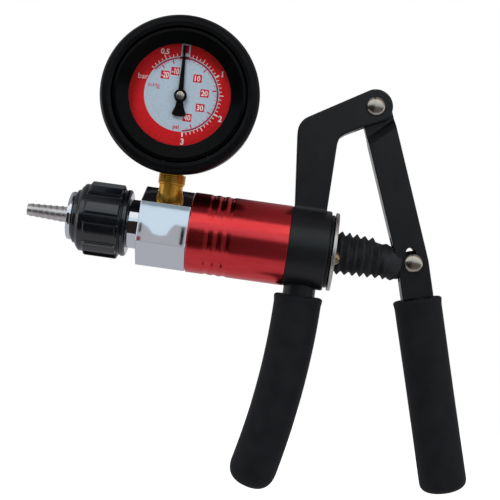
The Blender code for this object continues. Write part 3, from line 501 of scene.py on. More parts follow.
def makeFlange():
    low, high = boxOf("nozzle_flange")
    radius = (high[2] - low[2]) / 2
    outline = [(low[0], flange["bore"]), (high[0], flange["bore"]), (high[0], radius - 0.6, 0.2),
               (high[0] - 1.1, radius, 1.2), (low[0] + 0.3, radius - 0.5, 0.4), (low[0], radius - 1.2, 0.3)]
    dress(onBarrel("flange", outline), chrome, root, ["nozzle_flange"])


neck = {"core": 8.4, "inBlock": 8.0, "bore": (4.8, 2.0), "gap": 0.3}


def makeNeck():
    low, high = boxOf("spindle")
    blockEnd = boxOf("valve_block")[0][0]
    collar = (high[2] - low[2]) / 2
    collarStart = boxOf("selector_knob")[1][0] + neck["gap"]
    collarEnd = blockEnd - neck["gap"]
    outline = [(high[0], neck["bore"][1]), (high[0], neck["inBlock"]), (collarEnd, neck["inBlock"]),
               (collarEnd, collar, 0.3), (collarStart, collar, 0.3), (collarStart, neck["core"]),
               (low[0], neck["core"]), (low[0], neck["bore"][0])]
    dress(onBarrel("spindle_neck", outline), chrome, root, ["spindle"])


knob = {"body": 16.6, "rib": 18.3, "ribs": 10, "ribHalf": 9.3, "flank": 1.3, "ribFrom": 6.2, "ribTo": 3.9,
        "bore": 8.8, "endSoft": 0.9}


def makeKnob():
    # one skin: the stepped body is turned, and the ribs swell out of it with soft flanks
    low, high = boxOf("selector_knob")
    left, right = low[0], high[0]
    outline = [(right, knob["bore"]), (right, 15.2, 0.5), (right - 0.8, 16.4, 0.5), (right - 2.3, 16.4, 0.3),
               (right - 3.1, 15.6, 0.3), (right - 3.6, knob["body"], 0.3), (left + 3.8, knob["body"], 0.5),
               (left + 2.3, 14.9, 0.3), (left + 1.8, 13.4, 0.2), (left + 0.4, 13.1, 0.3), (left, 12.5, 0.2),
               (left, knob["bore"])]
    outline = rounded(outline, 0.0)
    fine = []
    for (a, r), (b, s) in zip(outline, outline[1:] + outline[:1]):
        steps = max(1, int(abs(b - a) / 0.6)) if min(r, s) > 16 else 1
        fine += [(a + (b - a) * k / steps, r + (s - r) * k / steps) for k in range(steps)]
    shape = turned(fine, "X", (0, 0, axisZ), 480)
    ribLow, ribHigh = left + knob["ribFrom"], right - knob["ribTo"]
    pitch = 360 / knob["ribs"]
    for v in shape.verts:
        x, y, z = v.co.x / mm, v.co.y / mm, v.co.z / mm - axisZ
        radius = math.hypot(y, z)
        if radius < knob["body"] - 0.05 or not ribLow - 1 < x < ribHigh + 1:
            continue
        turn = math.degrees(math.atan2(y, -z))
        off = abs((turn + pitch / 2) % pitch - pitch / 2)
        across = min(1, max(0, (knob["ribHalf"] + knob["flank"] - off) / (2 * knob["flank"])))
        along = min(1, max(0, min(x - ribLow, ribHigh - x) / knob["endSoft"]))
        lift = (across * across * (3 - 2 * across)) * math.sqrt(along * (2 - along))
        target = radius + (knob["rib"] - knob["body"]) * lift
        v.co.y *= target / radius
        v.co.z = (axisZ + z * target / radius) * mm
    piece = toObject("knob_skin", shape)
    dress(piece, knobAbs, "knob", ["selector_knob"], 50.0)


makeBarb()
makeFlange()
makeNeck()
makeKnob()

print("stage: block and barrel")

block = {"corner": 19.7, "spin": 7.0, "edge": 0.14, "endSoft": 0.5, "nose": 15.2, "seat": 6.05,
         "seatFrom": 13.6, "gap": 0.3}


def makeBlock():
    low, high = boxOf("valve_block")
    right = boxOf("pump_barrel")[0][0] - block["gap"]
    angles = [math.radians(90 + 60 * i + block["spin"]) for i in range(6)]
    hexagon = rounded([(-block["corner"] * math.cos(a), block["corner"] * math.sin(a)) for a in angles],
                      block["edge"])
    flat = block["corner"] * math.cos(math.radians(30))
    soft = block["endSoft"]
    bends = [math.radians(22.5 * k) for k in range(5)]
    stations = [(low[0] + soft * (1 - math.sin(a)), soft * (1 - math.cos(a))) for a in reversed(bends)]
    stations += [(right - soft * (1 - math.sin(a)), soft * (1 - math.cos(a))) for a in bends]
    rings = []
    for x, inset in stations:
        size = (flat - inset) / flat
        rings.append([(x, y * size, axisZ + z * size) for y, z in hexagon])
    piece = toObject("block_skin", loft(rings))
    nose = rod("X", (right - 4, high[0]), (0, axisZ), block["nose"], 64)
    carve(piece, toObject("nose", nose), "UNION")
    seat = (axisZ + block["seatFrom"], axisZ + 25)
    drill(piece, "Z", seat, (middleOf("gauge_stem")[0], 0), block["seat"], 64)
    dress(piece, chrome, root, ["valve_block"], 30.0)


casting = {"collarFrom": 23.6, "half": 7.0, "soft": 0.9, "bar": 8.0, "collar": 19.7, "collarSoft": 0.8,
           "bore": 17.7, "endRadius": 8.5, "endRise": math.radians(30.7), "elbow": (29.3, 56.4),
           "elbowRadius": 8.8, "forkRadius": 15.5, "tongueGap": 0.3, "pinHole": 2.3, "fillet": 3.2,
           "filletEnds": (24.7, 40.0), "barHeights": [-15.0 - 3.4 * i for i in range(30)]}

barrel = {"grooves": (9.9, 14.3, 18.7), "grooveHalf": 2.0, "grooveDeep": 0.4, "grooveSteps": 16,
          "bore": 15.5, "inCollar": 17.4}


def makeBarrel():
    low, high = boxOf("pump_barrel")
    radius = (high[2] - low[2]) / 2
    shoulder = zeroX + casting["collarFrom"] - 0.06
    outline = [(high[0], barrel["bore"]), (high[0], barrel["inCollar"]), (shoulder, barrel["inCollar"]),
               (shoulder, radius, 0.3)]
    for offset in reversed(barrel["grooves"]):
        middle = low[0] + offset
        for k in range(barrel["grooveSteps"] + 1):
            share = 1 - 2 * k / barrel["grooveSteps"]
            dip = barrel["grooveDeep"] * (1 + math.cos(math.pi * share)) / 2
            outline.append((middle + barrel["grooveHalf"] * share, radius - dip))
    outline += [(low[0], radius, 0.45), (low[0], barrel["bore"])]
    dress(onBarrel("barrel_skin", outline, 160), redMetal, root, ["pump_barrel"])


stem = {"thread": 0.25, "pitch": 0.9, "waist": 5.9, "top": 6.7, "change": 21.6, "ringHigh": 26.8,
        "inBlock": 4.9, "seat": 14.0, "inBoot": 5.3}


def makeStem():
    # brass stem of the gauge: a finely threaded collar under the boot and a plain neck down to the block
    low, high = boxOf("gauge_stem")
    centre = middleOf("gauge_stem")
    ringHigh, change, seat = [axisZ + stem[key] for key in ("ringHigh", "change", "seat")]
    valley, crest = stem["top"] - stem["thread"], stem["top"]
    outline = [(low[2], 0), (low[2], stem["inBlock"]), (seat, stem["inBlock"]), (seat, stem["waist"], 0.2),
               (change, stem["waist"], 0.2), (change + 0.2, valley, 0.1)]
    z = change + stem["pitch"]
    while z < ringHigh - 0.6:
        outline += [(z, valley, 0.15), (z + stem["pitch"] / 2, crest, 0.15)]
        z += stem["pitch"]
    outline += [(ringHigh, crest - 0.2), (ringHigh, stem["inBoot"]), (high[2] - 12, stem["inBoot"]),
                (high[2] - 12, 0)]
    shape = turned(rounded(outline, 0.0, closed=False), "Z", (centre[0], 0, 0), 96, closed=False)
    dress(toObject("stem_thread", shape), brass, root, ["gauge_stem"], 60.0)


makeBlock()
makeBarrel()
makeStem()

print("stage: casting, cap and end plate")

fixedGrip = {"x": 32.2, "bend": 0.00136, "top": -23.6, "low": -120.0, "radius": 11.7, "rim": 0.35,
             "roundOver": 11.0}
pivotU, pivotV = pivotX - zeroX, pivotZ - axisZ


def fixedGripSpot(z):
    # a point on the fixed grip's centre line, which curves back as it goes down
    return upright(spot(fixedGrip["x"] - fixedGrip["bend"] * (z - fixedGrip["top"]) ** 2, z))


def makeCasting():
    left = zeroX + casting["collarFrom"]
    right = boxOf("end_cap")[1][0] - 1.7
    outer, soft, half = casting["collar"], casting["collarSoft"], casting["half"]
    ring = [(left, casting["bore"]), (right, casting["bore"]), (right, outer, soft), (left, outer, 0.3)]
    piece = onBarrel("casting", ring, 144)
    rise, endR = casting["endRise"], casting["endRadius"]
    topOfEnd = (pivotU - endR * math.sin(rise), pivotV + endR * math.cos(rise))
    outline = [(24.4, 18.2), (20.6, 54.9)]
    outline += arcPoints(casting["elbow"], casting["elbowRadius"], 176, 121, 9)
    outline += [topOfEnd] + arcPoints((pivotU, pivotV), endR, 118, -42, 25)
    outline += [(52.2, 62.6), (44.1, 58.2, 2.0), (41.4, 56.0, 2.0), (40.6, 52.8, 2.0), (40.2, 18.2)]
    arm = plate([spot(x, z) for x, z in rounded(outline, 0.0)], -half, half, casting["soft"])
    carve(piece, toObject("arm", arm), "UNION")
    # the casting's fillet where the arm stands on the collar, in front and behind
    bend = casting["fillet"]
    centreZ = math.sqrt((outer + bend) ** 2 - (half + bend) ** 2)
    lean = math.degrees(math.atan2(centreZ, half + bend))
    curve = arcPoints((-half - bend, centreZ), bend, 0, -lean, 9)
    curve = [(-half + 1.0, centreZ)] + curve + [(curve[-1][0], centreZ - 4.0), (-half + 1.0, centreZ - 4.0)]
    for side in (1, -1):
        ends = [[(x + zeroX, y * side, z + axisZ) for y, z in curve] for x in casting["filletEnds"]]
        carve(piece, toObject("fillet", loft(ends)), "UNION")
    heights = casting["barHeights"][:-1]
    bar = swept([fixedGripSpot(z) for z in heights], [casting["bar"]] * len(heights), 48)
    carve(piece, toObject("bar", bar), "UNION")
    drill(piece, "X", (left - 5, right + 5), (0, axisZ), casting["bore"], 144)
    tongue = leverArm["tongue"] + casting["tongueGap"]
    drill(piece, "Y", (-tongue, tongue), (pivotX, pivotZ), casting["forkRadius"], 96)
    drill(piece, "Y", (-12, 12), (pivotX, pivotZ), casting["pinHole"], 32)
    dress(piece, enamel, root, ["handle_frame"], 32.0)


cap = {"bore": 6.3, "lip": 18.0, "lipLong": 1.4, "inBarrel": 17.4, "plateBore": 4.7, "screwHole": 1.8}


def makeCap():
    low, high = boxOf("end_cap")
    lip = high[0] - cap["lipLong"]
    outline = [(high[0], cap["bore"]), (high[0], cap["lip"], 0.5), (lip, cap["lip"], 0.1),
               (lip, cap["inBarrel"]), (low[0], cap["inBarrel"]), (low[0], cap["bore"])]
    dress(onBarrel("cap", outline), enamel, root, ["end_cap"])
    low, high = boxOf("end_plate")
    radius = (high[2] - low[2]) / 2
    outline = [(high[0], cap["plateBore"], 0.2), (high[0], radius, 0.35), (low[0], radius, 0.25),
               (low[0], cap["plateBore"], 0.2)]
    piece = onBarrel("end_disc", outline, 144)
    for node in ("plate_screw_front", "plate_screw_back"):
        drill(piece, "X", (low[0] - 1, high[0] + 1), middleOf(node)[1:], cap["screwHole"], 24)
    dress(piece, platedSteel, root, ["end_plate"])


screw = {"head": 3.3, "high": 2.9, "sunk": 2.2, "shank": 1.5, "recess": 0.8, "cross": 0.42,
         "crossLong": 1.7}


def makeScrews():
    # domed heads with a crossed recess
    for node in ("plate_screw_front", "plate_screw_back"):
        low, high = boxOf(node)
        middle = middleOf(node)
        base, shank = high[0] - screw["sunk"], screw["shank"]
        top = base + screw["high"]
        dome = [(base + screw["high"] * math.sin(a), screw["head"] * math.cos(a))
                for a in [math.radians(90 - 9 * i) for i in range(1, 11)]]
        outline = [(top, 0)] + dome
        outline += [(base, shank), (low[0] + 0.4, shank), (low[0], shank - 0.5), (low[0], 0)]
        piece = toObject(node + "_head", turned(outline, "X", middle, 48, closed=False))
        for turn in (20, 110):
            slot = plate(boxAround(0, 0, 2 * screw["crossLong"], 2 * screw["cross"]), -screw["recess"],
                         screw["recess"])
            slot.transform(Matrix.Translation(Vector((top, middle[1], middle[2])) * mm)
                           @ Matrix.Rotation(math.radians(turn), 4, "X")
                           @ Matrix.Rotation(math.radians(90), 4, "Z"))
            carve(piece, toObject("slot", slot))
        dress(piece, screwSteel, root, [node])


bellows = {"ribs": 8, "pitch": 3.8, "first": 2.1, "crest": (10.9, 9.4), "deep": 1.9, "bore": 6.2, "sag": 0.5,
           "reach": 32.6, "tired": (18.9, 25.5), "keep": 0.366, "gap": 0.45, "cheek": 7.35}


def bellowsRadius(along, angle):
    # ribs stand out evenly, then crumple and draw in where the rubber is tied near the lever
    share = min(1, along / (bellows["ribs"] * bellows["pitch"]))
    crest = bellows["crest"][0] + (bellows["crest"][1] - bellows["crest"][0]) * share
    phase = (along - bellows["first"]) / bellows["pitch"]
    phase -= math.floor(phase + 0.5)
    wave = 0.45 * (1 - math.cos(2 * math.pi * phase)) / 2 + 0.55 * abs(2 * phase)
    upper = (1 + math.sin(angle)) / 2
    start = bellows["tired"][1] + (bellows["tired"][0] - bellows["tired"][1]) * upper
    tired = min(1, max(0, (along - start) / 1.6))
    radius = crest - bellows["deep"] * wave * (1 - 0.8 * tired) - (0.3 + 1.7 * upper * upper) * tired
    wrinkle = 0.28 * tired * math.sin(3 * angle + along * 0.9) + 0.1 * math.sin(5 * angle + 2.1 * along)
    rounding = max(0, along - bellows["reach"] + 2.0)
    return radius + wrinkle - 0.25 * rounding ** 2


def makeBellows():
    low, high = boxOf("bellows")
    reach, bore, count = bellows["reach"], bellows["bore"], 132
    outer = [(low[0] + reach * i / count, 9.0) for i in range(count + 1)]
    outline = [(low[0] + reach, bore)] + outer[::-1] + [(low[0], bore)]
    shape = turned(outline, "X", (0, 0, axisZ), 112)
    for v in shape.verts:
        y, z = v.co.y / mm, v.co.z / mm - axisZ
        along = v.co.x / mm - low[0]
        radius = math.hypot(y, z)
        lift = bellowsRadius(along, math.atan2(z, y)) / radius if radius > 8 else 1
        drop = bellows["sag"] * (along / reach) ** 2
        v.co.y = y * lift * mm
        v.co.z = (axisZ + z * lift - drop) * mm
    piece = toObject("bellows_skin", shape)
    # the folds stop at the lever's edge and bulge past it in front and behind
    face, behind = leverArm["half"] + bellows["gap"], 40
    edge = [leverSpot(*p) for p in boxAround(0, (behind - face) / 2, 120, behind + face)]
    carve(piece, toObject("edge", plate(edge, -bellows["cheek"], bellows["cheek"])))
    dress(piece, bellowsRubber, root, ["bellows"], 40.0, even=False)
    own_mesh(piece)


print("stage: grips and lever")

leverArm = {"half": 7.6, "thick": 7.0, "soft": 0.55, "bar": 6.9, "tongue": 3.1, "ramp": (10.1, 14.4),
            "rampLean": 42.0, "slotHalf": 2.4, "slotUp": 5.4, "channel": (3.6, 22.0), "eye": 3.6,
            "pinHole": 2.3}
leverGrip = {"lean": math.radians(16.0), "from": 17.7, "long": 96.5, "radius": 11.7, "rim": 0.35,
             "roundOver": 6.4}
gripShape = {"lipAt": 1.3, "lipWide": 1.6, "topIn": 1.1, "topLong": 0.9, "waist": 0.14, "square": 2.6,
             "boreGap": 0.3}
leverLean = math.atan2(pinX - pivotX, pivotZ - axisZ)


def leverSpot(down, across, lean=None):
    # a point this far down the lever from the pin, and across it to the right
    a = leverLean if lean is None else lean
    return (pinX + down * math.sin(a) + across * math.cos(a),
            axisZ - down * math.cos(a) + across * math.sin(a))


def gripRadius(down, long, grip):
    # a lip at the top, a nearly even body and a rounded end
    lip = grip["rim"] * math.exp(-((down - gripShape["lipAt"]) / gripShape["lipWide"]) ** 2)
    top = -gripShape["topIn"] * max(0, 1 - down / gripShape["topLong"]) ** 2
    end = min(1, max(0, (down - long + grip["roundOver"]) / (grip["roundOver"] + 0.12)))
    waist = -gripShape["waist"] * math.sin(math.pi * down / long) ** 2
    square = gripShape["square"]
    return (grip["radius"] + lip + top + waist) * (1 - end ** square) ** (1 / square)


def gripSteps(long, grip):
    # stations along a grip, close together where it curves in
    tail = long - grip["roundOver"]
    stations = [0, 0.25, 0.55, 0.9, 1.3, 1.8, 2.4, 3.1, 4.0, 5.2]
    stations += [5.2 + (tail - 5.2) * i / 26 for i in range(1, 27)]
    stations += [tail + grip["roundOver"] * math.sin(math.radians(90 * i / 14)) for i in range(1, 15)]
    return stations


def leverLine(s):
    # a point on the lever grip's centre line, this far below the grip's top
    return upright(leverSpot(leverGrip["from"] + s, 0, leverGrip["lean"]))


def makeGrip(name, node, body, grip, long, line, hole, bar):
    # a dipped sleeve round its steel bar
    stations = gripSteps(long, grip)
    radii = [max(0.4, gripRadius(s, long, grip)) for s in stations]
    piece = toObject(name, swept([line(s) for s in stations], radii, 80))
    bore = swept(hole, [bar + gripShape["boreGap"]] * len(hole), 48)
    carve(piece, toObject("bore", bore))
    dress(piece, gripVinyl, body, [node], 50.0)


def makeFixedGrip():
    top = fixedGrip["top"]
    hole = [fixedGripSpot(z) for z in casting["barHeights"]]
    makeGrip("fixed_grip_skin", "fixed_grip", root, fixedGrip, top - fixedGrip["low"],
             lambda s: fixedGripSpot(top - s), hole, casting["bar"])


def makeLeverGrip():
    long = leverGrip["long"]
    makeGrip("lever_grip_skin", "lever_grip", "squeeze_lever", leverGrip, long, leverLine,
             [leverLine(-5), leverLine(long - 7.4)], leverArm["bar"])


def makeLever():
    half, lean, thick = leverArm["half"], leverGrip["lean"], leverArm["thick"]
    turn = math.degrees(leverLean)
    outline = arcPoints((pivotX, pivotZ), half, 180 + turn, turn, 25)
    middle = (leverLean + lean) / 2
    down = leverGrip["from"] - 0.3
    outline += [(pinX + half * math.cos(middle), axisZ + half * math.sin(middle), 6.0),
                leverSpot(down, half, lean), leverSpot(down, -half, lean),
                (pinX - half * math.cos(middle), axisZ - half * math.sin(middle), 6.0)]
    piece = toObject("lever_arm", plate(rounded(outline, 0.0), -thick, thick, leverArm["soft"]))
    ends = [upright(leverSpot(s, 0, lean)) for s in (down - 6.0, down + leverGrip["long"] - 8.0)]
    carve(piece, toObject("bar", swept(ends, [leverArm["bar"]] * 2, 48)), "UNION")
    # the tongue is thinner, and a ramp on each face leads out to the full thickness
    tongue, (near, far) = leverArm["tongue"], leverArm["ramp"]
    angle = math.radians(leverArm["rampLean"])
    place = Matrix(((math.sin(angle), math.cos(angle), 0.0), (0.0, 0.0, 1.0),
                    (-math.cos(angle), math.sin(angle), 0.0)))
    for side in (1, -1):
        rim = [(-30, tongue), (near, tongue), (far, thick + 0.1), (far, thick + 5), (-30, thick + 5)]
        cheek = [[place @ Vector((x, z, side * y)) + upright((pivotX, pivotZ)) for x, y in rim]
                 for z in (-25, 25)]
        carve(piece, toObject("cheek", loft(cheek)))
    wide, long = leverArm["channel"]
    channel = [leverSpot(*p) for p in boxAround(-leverArm["eye"], 0, long, 40)]
    carve(piece, toObject("channel", plate(channel, -wide, wide)))
    slotLine = arcPoints((0, 0), leverArm["slotHalf"], 180, 360, 17)
    slotLine += arcPoints((0, leverArm["slotUp"]), leverArm["slotHalf"], 0, 180, 17)
    carve(piece, toObject("slot", plate([leverSpot(-v, u) for u, v in slotLine], -12, 12)))
    drill(piece, "Y", (-12, 12), (pivotX, pivotZ), leverArm["pinHole"], 32)
    dress(piece, enamel, "squeeze_lever", ["lever"], 32.0)


driveRod = {"radius": 4.0, "thread": 3.0, "eye": 6.1, "eyeHalf": 3.2, "neck": 3.4, "step": 0.3,
            "pinHole": 1.8}


def makeDriveRod():
    low, high = boxOf("piston_rod")
    shoulder = boxOf("piston")[1][0] + driveRod["step"]
    radius, thread, neck = [driveRod[key] for key in ("radius", "thread", "neck")]
    outline = [(pinX - 9.8, 0), (pinX - 9.8, radius, 0.4), (shoulder, radius, 0.2), (shoulder, thread),
               (low[0], thread, 0.4), (low[0], 0)]
    shape = turned(rounded(outline, 0.0, closed=False), "X", (0, 0, axisZ), 64, closed=False)
    piece = toObject("drive_rod", shape)
    outline = [(-12, -neck), (-7.5, -neck, 1.5)] + arcPoints((0, 0), driveRod["eye"], -112, 112, 40)
    outline += [(-7.5, neck, 1.5), (-12, neck)]
    flat = plate([(pinX + u, axisZ + v) for u, v in rounded(outline, 0.0)], -driveRod["eyeHalf"],
                 driveRod["eyeHalf"], 0.3)
    carve(piece, toObject("eye", flat), "UNION")
    drill(piece, "Y", (-6, 6), (pinX, axisZ), driveRod["pinHole"], 32)
    dress(piece, rodSteel, "rod_and_piston", ["piston_rod"])


returnSpring = {"radius": 9.6, "wire": 0.9, "turns": 7, "steps": 28, "sides": 10}


def makeReturnSpring():
    # wound from one wire between the block's nose and the piston, at one length; the real spring shortens as
    # the lever is squeezed
    low, high = boxOf("return_spring")
    wire, sides, steps = [returnSpring[key] for key in ("wire", "sides", "steps")]
    count = returnSpring["turns"] * steps
    long = high[0] - low[0]
    section = arcPoints((0, 0), wire, 0, 360 - 360 / sides, sides)
    rings = []
    for i in range(count + 1):
        a = 2 * math.pi * i / steps
        x = low[0] + wire + (long - 2 * wire) * i / count
        rings.append([(x + along, (returnSpring["radius"] + out) * math.cos(a),
                       axisZ + (returnSpring["radius"] + out) * math.sin(a)) for out, along in section])
    piece = toObject("spring_wire", loft(rings))
    dress(piece, steel, root, ["return_spring"], 50.0, even=False)
    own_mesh(piece)


rivet = {"radius": 4.7, "high": 2.3, "from": 7.3}


def makeRivets():
    # shallow domes on both ends of the lever's rivet and of the drive pin
    start, radius = rivet["from"], rivet["radius"]
    for name, node, x, z, shank, body in (("rivet_domes", "pivot_rivet", pivotX, pivotZ, 2.0, root),
                                          ("pin_domes", "drive_pin", pinX, axisZ, 1.5, "rod_and_piston")):
        half = [(start + rivet["high"] * math.cos(a), radius * math.sin(a))
                for a in [math.radians(7.5 * i) for i in range(0, 12)]]
        half += [(start + 0.12, radius - 0.02), (start, radius - 0.2), (start, shank)]
        outline = half + [(-a, r) for a, r in reversed(half)]
        piece = toObject(name, turned(outline, "Y", (x, 0, z), 72, closed=False))
        dress(piece, domeSteel, body, [node], 40.0)


makeCasting()
makeCap()
makeScrews()
makeBellows()
makeFixedGrip()
makeLeverGrip()
makeLever()
makeDriveRod()
makeReturnSpring()
makeRivets()

print("stage: gauge")

gauge = {"boot": [(18.7, 32.9, 0.5), (19.8, 34.6, 1.0), (19.0, 37.2, 1.6), (15.4, 38.7, 2.0),
                  (-7.4, 37.5, 2.0), (-11.0, 36.2, 1.8), (-11.8, 33.6, 1.2), (-11.8, 24.0, 0.3),
                  (-9.8, 24.0), (-9.8, 32.7)],
         "bezel": [(18.2, 30.6, 0.3), (17.6, 32.3, 0.5), (13.4, 32.3), (13.4, 30.3), (15.6, 30.3),
                   (15.6, 24.6), (16.2, 24.6, 0.3)],
         "lens": (13.4, 15.3, 29.9), "dial": (9.0, 9.6, 30.1), "turn": -1.7, "needleTurn": -2.6,
         "printAt": (0.2, 0.8)}


def onDial(name, profile, segments=160, closed=True):
    # a piece turned about the dial's middle; its profile runs towards the viewer, in the direction of -Y
    outline = [(-along, radius) for along, radius in rounded(profile, 0.0, closed=closed)]
    return toObject(name, turned(outline, "Y", (gaugeX, 0, gaugeZ), segments, closed=closed))


def makeBoot():
    piece = onDial("boot", gauge["boot"])
    drill(piece, "Z", (gaugeZ - 42, gaugeZ - 22), (middleOf("gauge_stem")[0], 0), stem["top"], 48)
    dress(piece, bootRubber, root, ["gauge_boot"], 40.0)
    dress(onDial("bezel", gauge["bezel"]), bezelAbs, root, ["gauge_bezel"], 40.0)
    back, front, radius = gauge["lens"]
    outline = [(back, 0), (back, radius), (front, radius, 0.3), (front, 0)]
    dress(onDial("window", outline, closed=False), lensClear, root, ["gauge_lens"])


dial = {"paleRadius": 18.1, "paleFrom": 2.6, "line": (17.35, 17.8), "paleBand": (17.8, 18.5),
        "ends": (-52, 172.5), "minor": 5.75, "tick": (18.5, 19.8), "major": (18.5, 20.6), "thick": 0.04,
        "bore": 1.6, "psi": 57 * 0.06895, "inHg": -57 * 0.03386, "inner": (15.2, 16.4, 17.2)}
# red squares with a white number, then the other words with their ink, place, height and boldness
squares = [("10", 7.1, 8.5), ("20", 11.2, 1.7), ("30", 9.8, -5.5), ("40", 4.1, -10.9), ("-10", -4.0, 10.9),
           ("-20", -8.8, 8.7)]
marks = [("white", "0,5", -10.0, 19.8, 3.1, 0.025), ("white", "1", 18.9, 11.9, 3.0, 0.03),
         ("white", "2", 20.1, -9.8, 3.0, 0.03), ("white", "3", 2.9, -22.8, 3.1, 0.03),
         ("white", "bar", -19.3, 7.0, 2.6, 0.0), ("red", "inHg", -13.6, 2.9, 2.8, 0.0),
         ("red", "psi", -0.9, -16.2, 2.6, 0.03)]
printed = {"white": [], "red": [], "black": [], "pale": []}


def turnedBy(degrees, u, v):
    # a place right and up from the gauge's middle, turned clockwise
    a = math.radians(degrees)
    return (gaugeX + u * math.cos(a) + v * math.sin(a), gaugeZ - u * math.sin(a) + v * math.cos(a))


def dialSpot(u, v):
    # dial coordinates, right and up from the middle of the scale, turned as the dial is
    return turnedBy(gauge["turn"], u + gauge["printAt"][0], v + gauge["printAt"][1])


def addPrint(ink, outline, layer):
    # an outline printed on the dial; each layer lies on the one below
    front = -gauge["dial"][1] - dial["thick"] * (layer + 1)
    back = -gauge["dial"][1] - dial["thick"] * layer
    printed[ink].append(plate([dialSpot(u, v) for u, v in outline], front, back))


def around(angle, radius):
    # a point at this dial angle, degrees clockwise from the top
    return (radius * math.sin(math.radians(angle)), radius * math.cos(math.radians(angle)))


def sector(inner, outer, start, end, steps):
    # a band between two radii and two dial angles
    angles = [start + (end - start) * i / steps for i in range(steps + 1)]
    return [around(a, outer) for a in angles] + [around(a, inner) for a in reversed(angles)]


def stroke(angle, inner, outer, wide):
    # a tick along the dial's radius
    u, v = around(angle, 1)
    return [(u * r + v * w, v * r - u * w) for r, w in boxAround((inner + outer) / 2, 0, outer - inner, wide)]


def addText(ink, words, u, v, high, layer, bold=0.02, stretch=1.0):
    # plain numbers and units, set at this height and centred on their place
    font = bpy.data.curves.new("digits", "FONT")
    font.body = words
    font.resolution_u = 3
    font.offset = bold
    font.extrude = 0.5
    text = bpy.data.objects.new("digits", font)
    bpy.context.scene.collection.objects.link(text)
    graph = bpy.context.evaluated_depsgraph_get()
    mesh = bpy.data.meshes.new_from_object(text.evaluated_get(graph))
    bpy.data.objects.remove(text, do_unlink=True)
    shape = bmesh.new()
    shape.from_mesh(mesh)
    bmesh.ops.remove_doubles(shape, verts=shape.verts, dist=0.0001)
    lows = [min(v.co[i] for v in shape.verts) for i in range(3)]
    highs = [max(v.co[i] for v in shape.verts) for i in range(3)]
    size = high / (highs[1] - lows[1] if words[0] != "-" else 0.7)
    for vert in shape.verts:
        x = (vert.co.x - (lows[0] + highs[0]) / 2) * size * stretch
        y = (vert.co.y - (lows[1] + highs[1]) / 2) * size
        seat = dialSpot(u + x, v + y)
        deep = gauge["dial"][1] + dial["thick"] * (layer + (1 if vert.co.z > 0 else 0))
        vert.co = Vector((seat[0], -deep, seat[1])) * mm
    printed[ink].append(shape)


def makeDial():
    back, front, radius = gauge["dial"]
    bore, ends = dial["bore"], dial["ends"]
    outline = [(back, bore), (back, radius), (front, radius), (front, bore)]
    dress(onDial("dial_plate", outline, 128), dialRed, root, ["gauge_dial"])
    addPrint("pale", sector(dial["paleFrom"], dial["paleRadius"], 0, 359.9, 120), 0)
    addPrint("pale", sector(*dial["paleBand"], *ends, 90), 0)
    addPrint("red", sector(*dial["line"], *ends, 90), 1)
    for i in [i for i in range(-9, 31) if i]:
        inner, outer = dial["major"] if i % 5 == 0 else dial["tick"]
        wide = 0.75 if i % 10 == 0 else 0.45 if i % 5 == 0 else 0.34
        addPrint("white", stroke(i * dial["minor"], inner, outer, wide), 1)
    # pounds per square inch run clockwise and inches of mercury run the other way
    longFrom, shortFrom, upTo = dial["inner"]
    for unit, count in ((dial["psi"], 43), (dial["inHg"], 29)):
        for i in range(2, count, 2):
            start, wide = (longFrom, 0.6) if i % 10 == 0 else (shortFrom, 0.24)
            addPrint("red", stroke(i * unit, start, upTo, wide), 1)
    for words, u, v in squares:
        addPrint("red", boxAround(u, v, 4.2, 3.9), 1)
        addText("white", words, u, v, 2.7, 2, stretch=0.9 if words[0] != "-" else 0.7)
    addPrint("pale", boxAround(0, 20.9, 4.4, 7.8), 0)
    addPrint("red", boxAround(0, 22.1, 3.1, 3.9), 1)
    addText("black", "0", 0, 22.1, 2.9, 2, stretch=0.9)
    for ink, words, u, v, high, bold in marks:
        addText(ink, words, u, v, high, 1, bold)
    inks = {"white": printWhite, "red": printRed, "black": printBlack, "pale": dialPale}
    for ink, material in inks.items():
        together = bmesh.new()
        for shape in printed[ink]:
            mesh = bpy.data.meshes.new("part")
            shape.to_mesh(mesh)
            shape.free()
            together.from_mesh(mesh)
            bpy.data.meshes.remove(mesh)
        dress(toObject("dial_print_" + ink, together), material, root)


needle = {"hub": 3.1, "cap": 2.0, "bore": 1.05, "at": (-11.2, -10.6), "soft": 0.12,
          "half": [(0.45, 24.5), (1.25, 3.2), (1.45, -2.5), (2.1, -5.4), (3.3, -8.2), (3.35, -9.3),
                   (1.6, -10.0)]}


def makeNeedle():
    outline = rounded(needle["half"] + [(-u, v) for u, v in reversed(needle["half"])], 0.15)
    outline = [turnedBy(gauge["needleTurn"], u, v) for u, v in outline]
    piece = toObject("needle_hand", plate(outline, *needle["at"], needle["soft"], 2))
    hub = [(12.6, 1.0), (12.6, 2.4, 0.2), (12.2, needle["hub"], 0.3), (10.3, needle["hub"], 0.1), (10.3, 1.0)]
    carve(piece, onDial("hub", hub, 64), "UNION")
    drill(piece, "Y", (-14, -8), (gaugeX, gaugeZ), needle["bore"], 24)
    dress(piece, needleBlack, "needle", ["gauge_needle"])
    cap = [(12.9, 0), (12.9, 0.6), (12.75, 1.5, 0.2), (12.61, needle["cap"]), (12.61, 1.5), (12.61, 0)]
    dress(onDial("needle_cap", cap, 48, closed=False), domeSteel, "needle")


makeBoot()
makeDial()
makeNeedle()

print("stage: pieces kept from the frame")

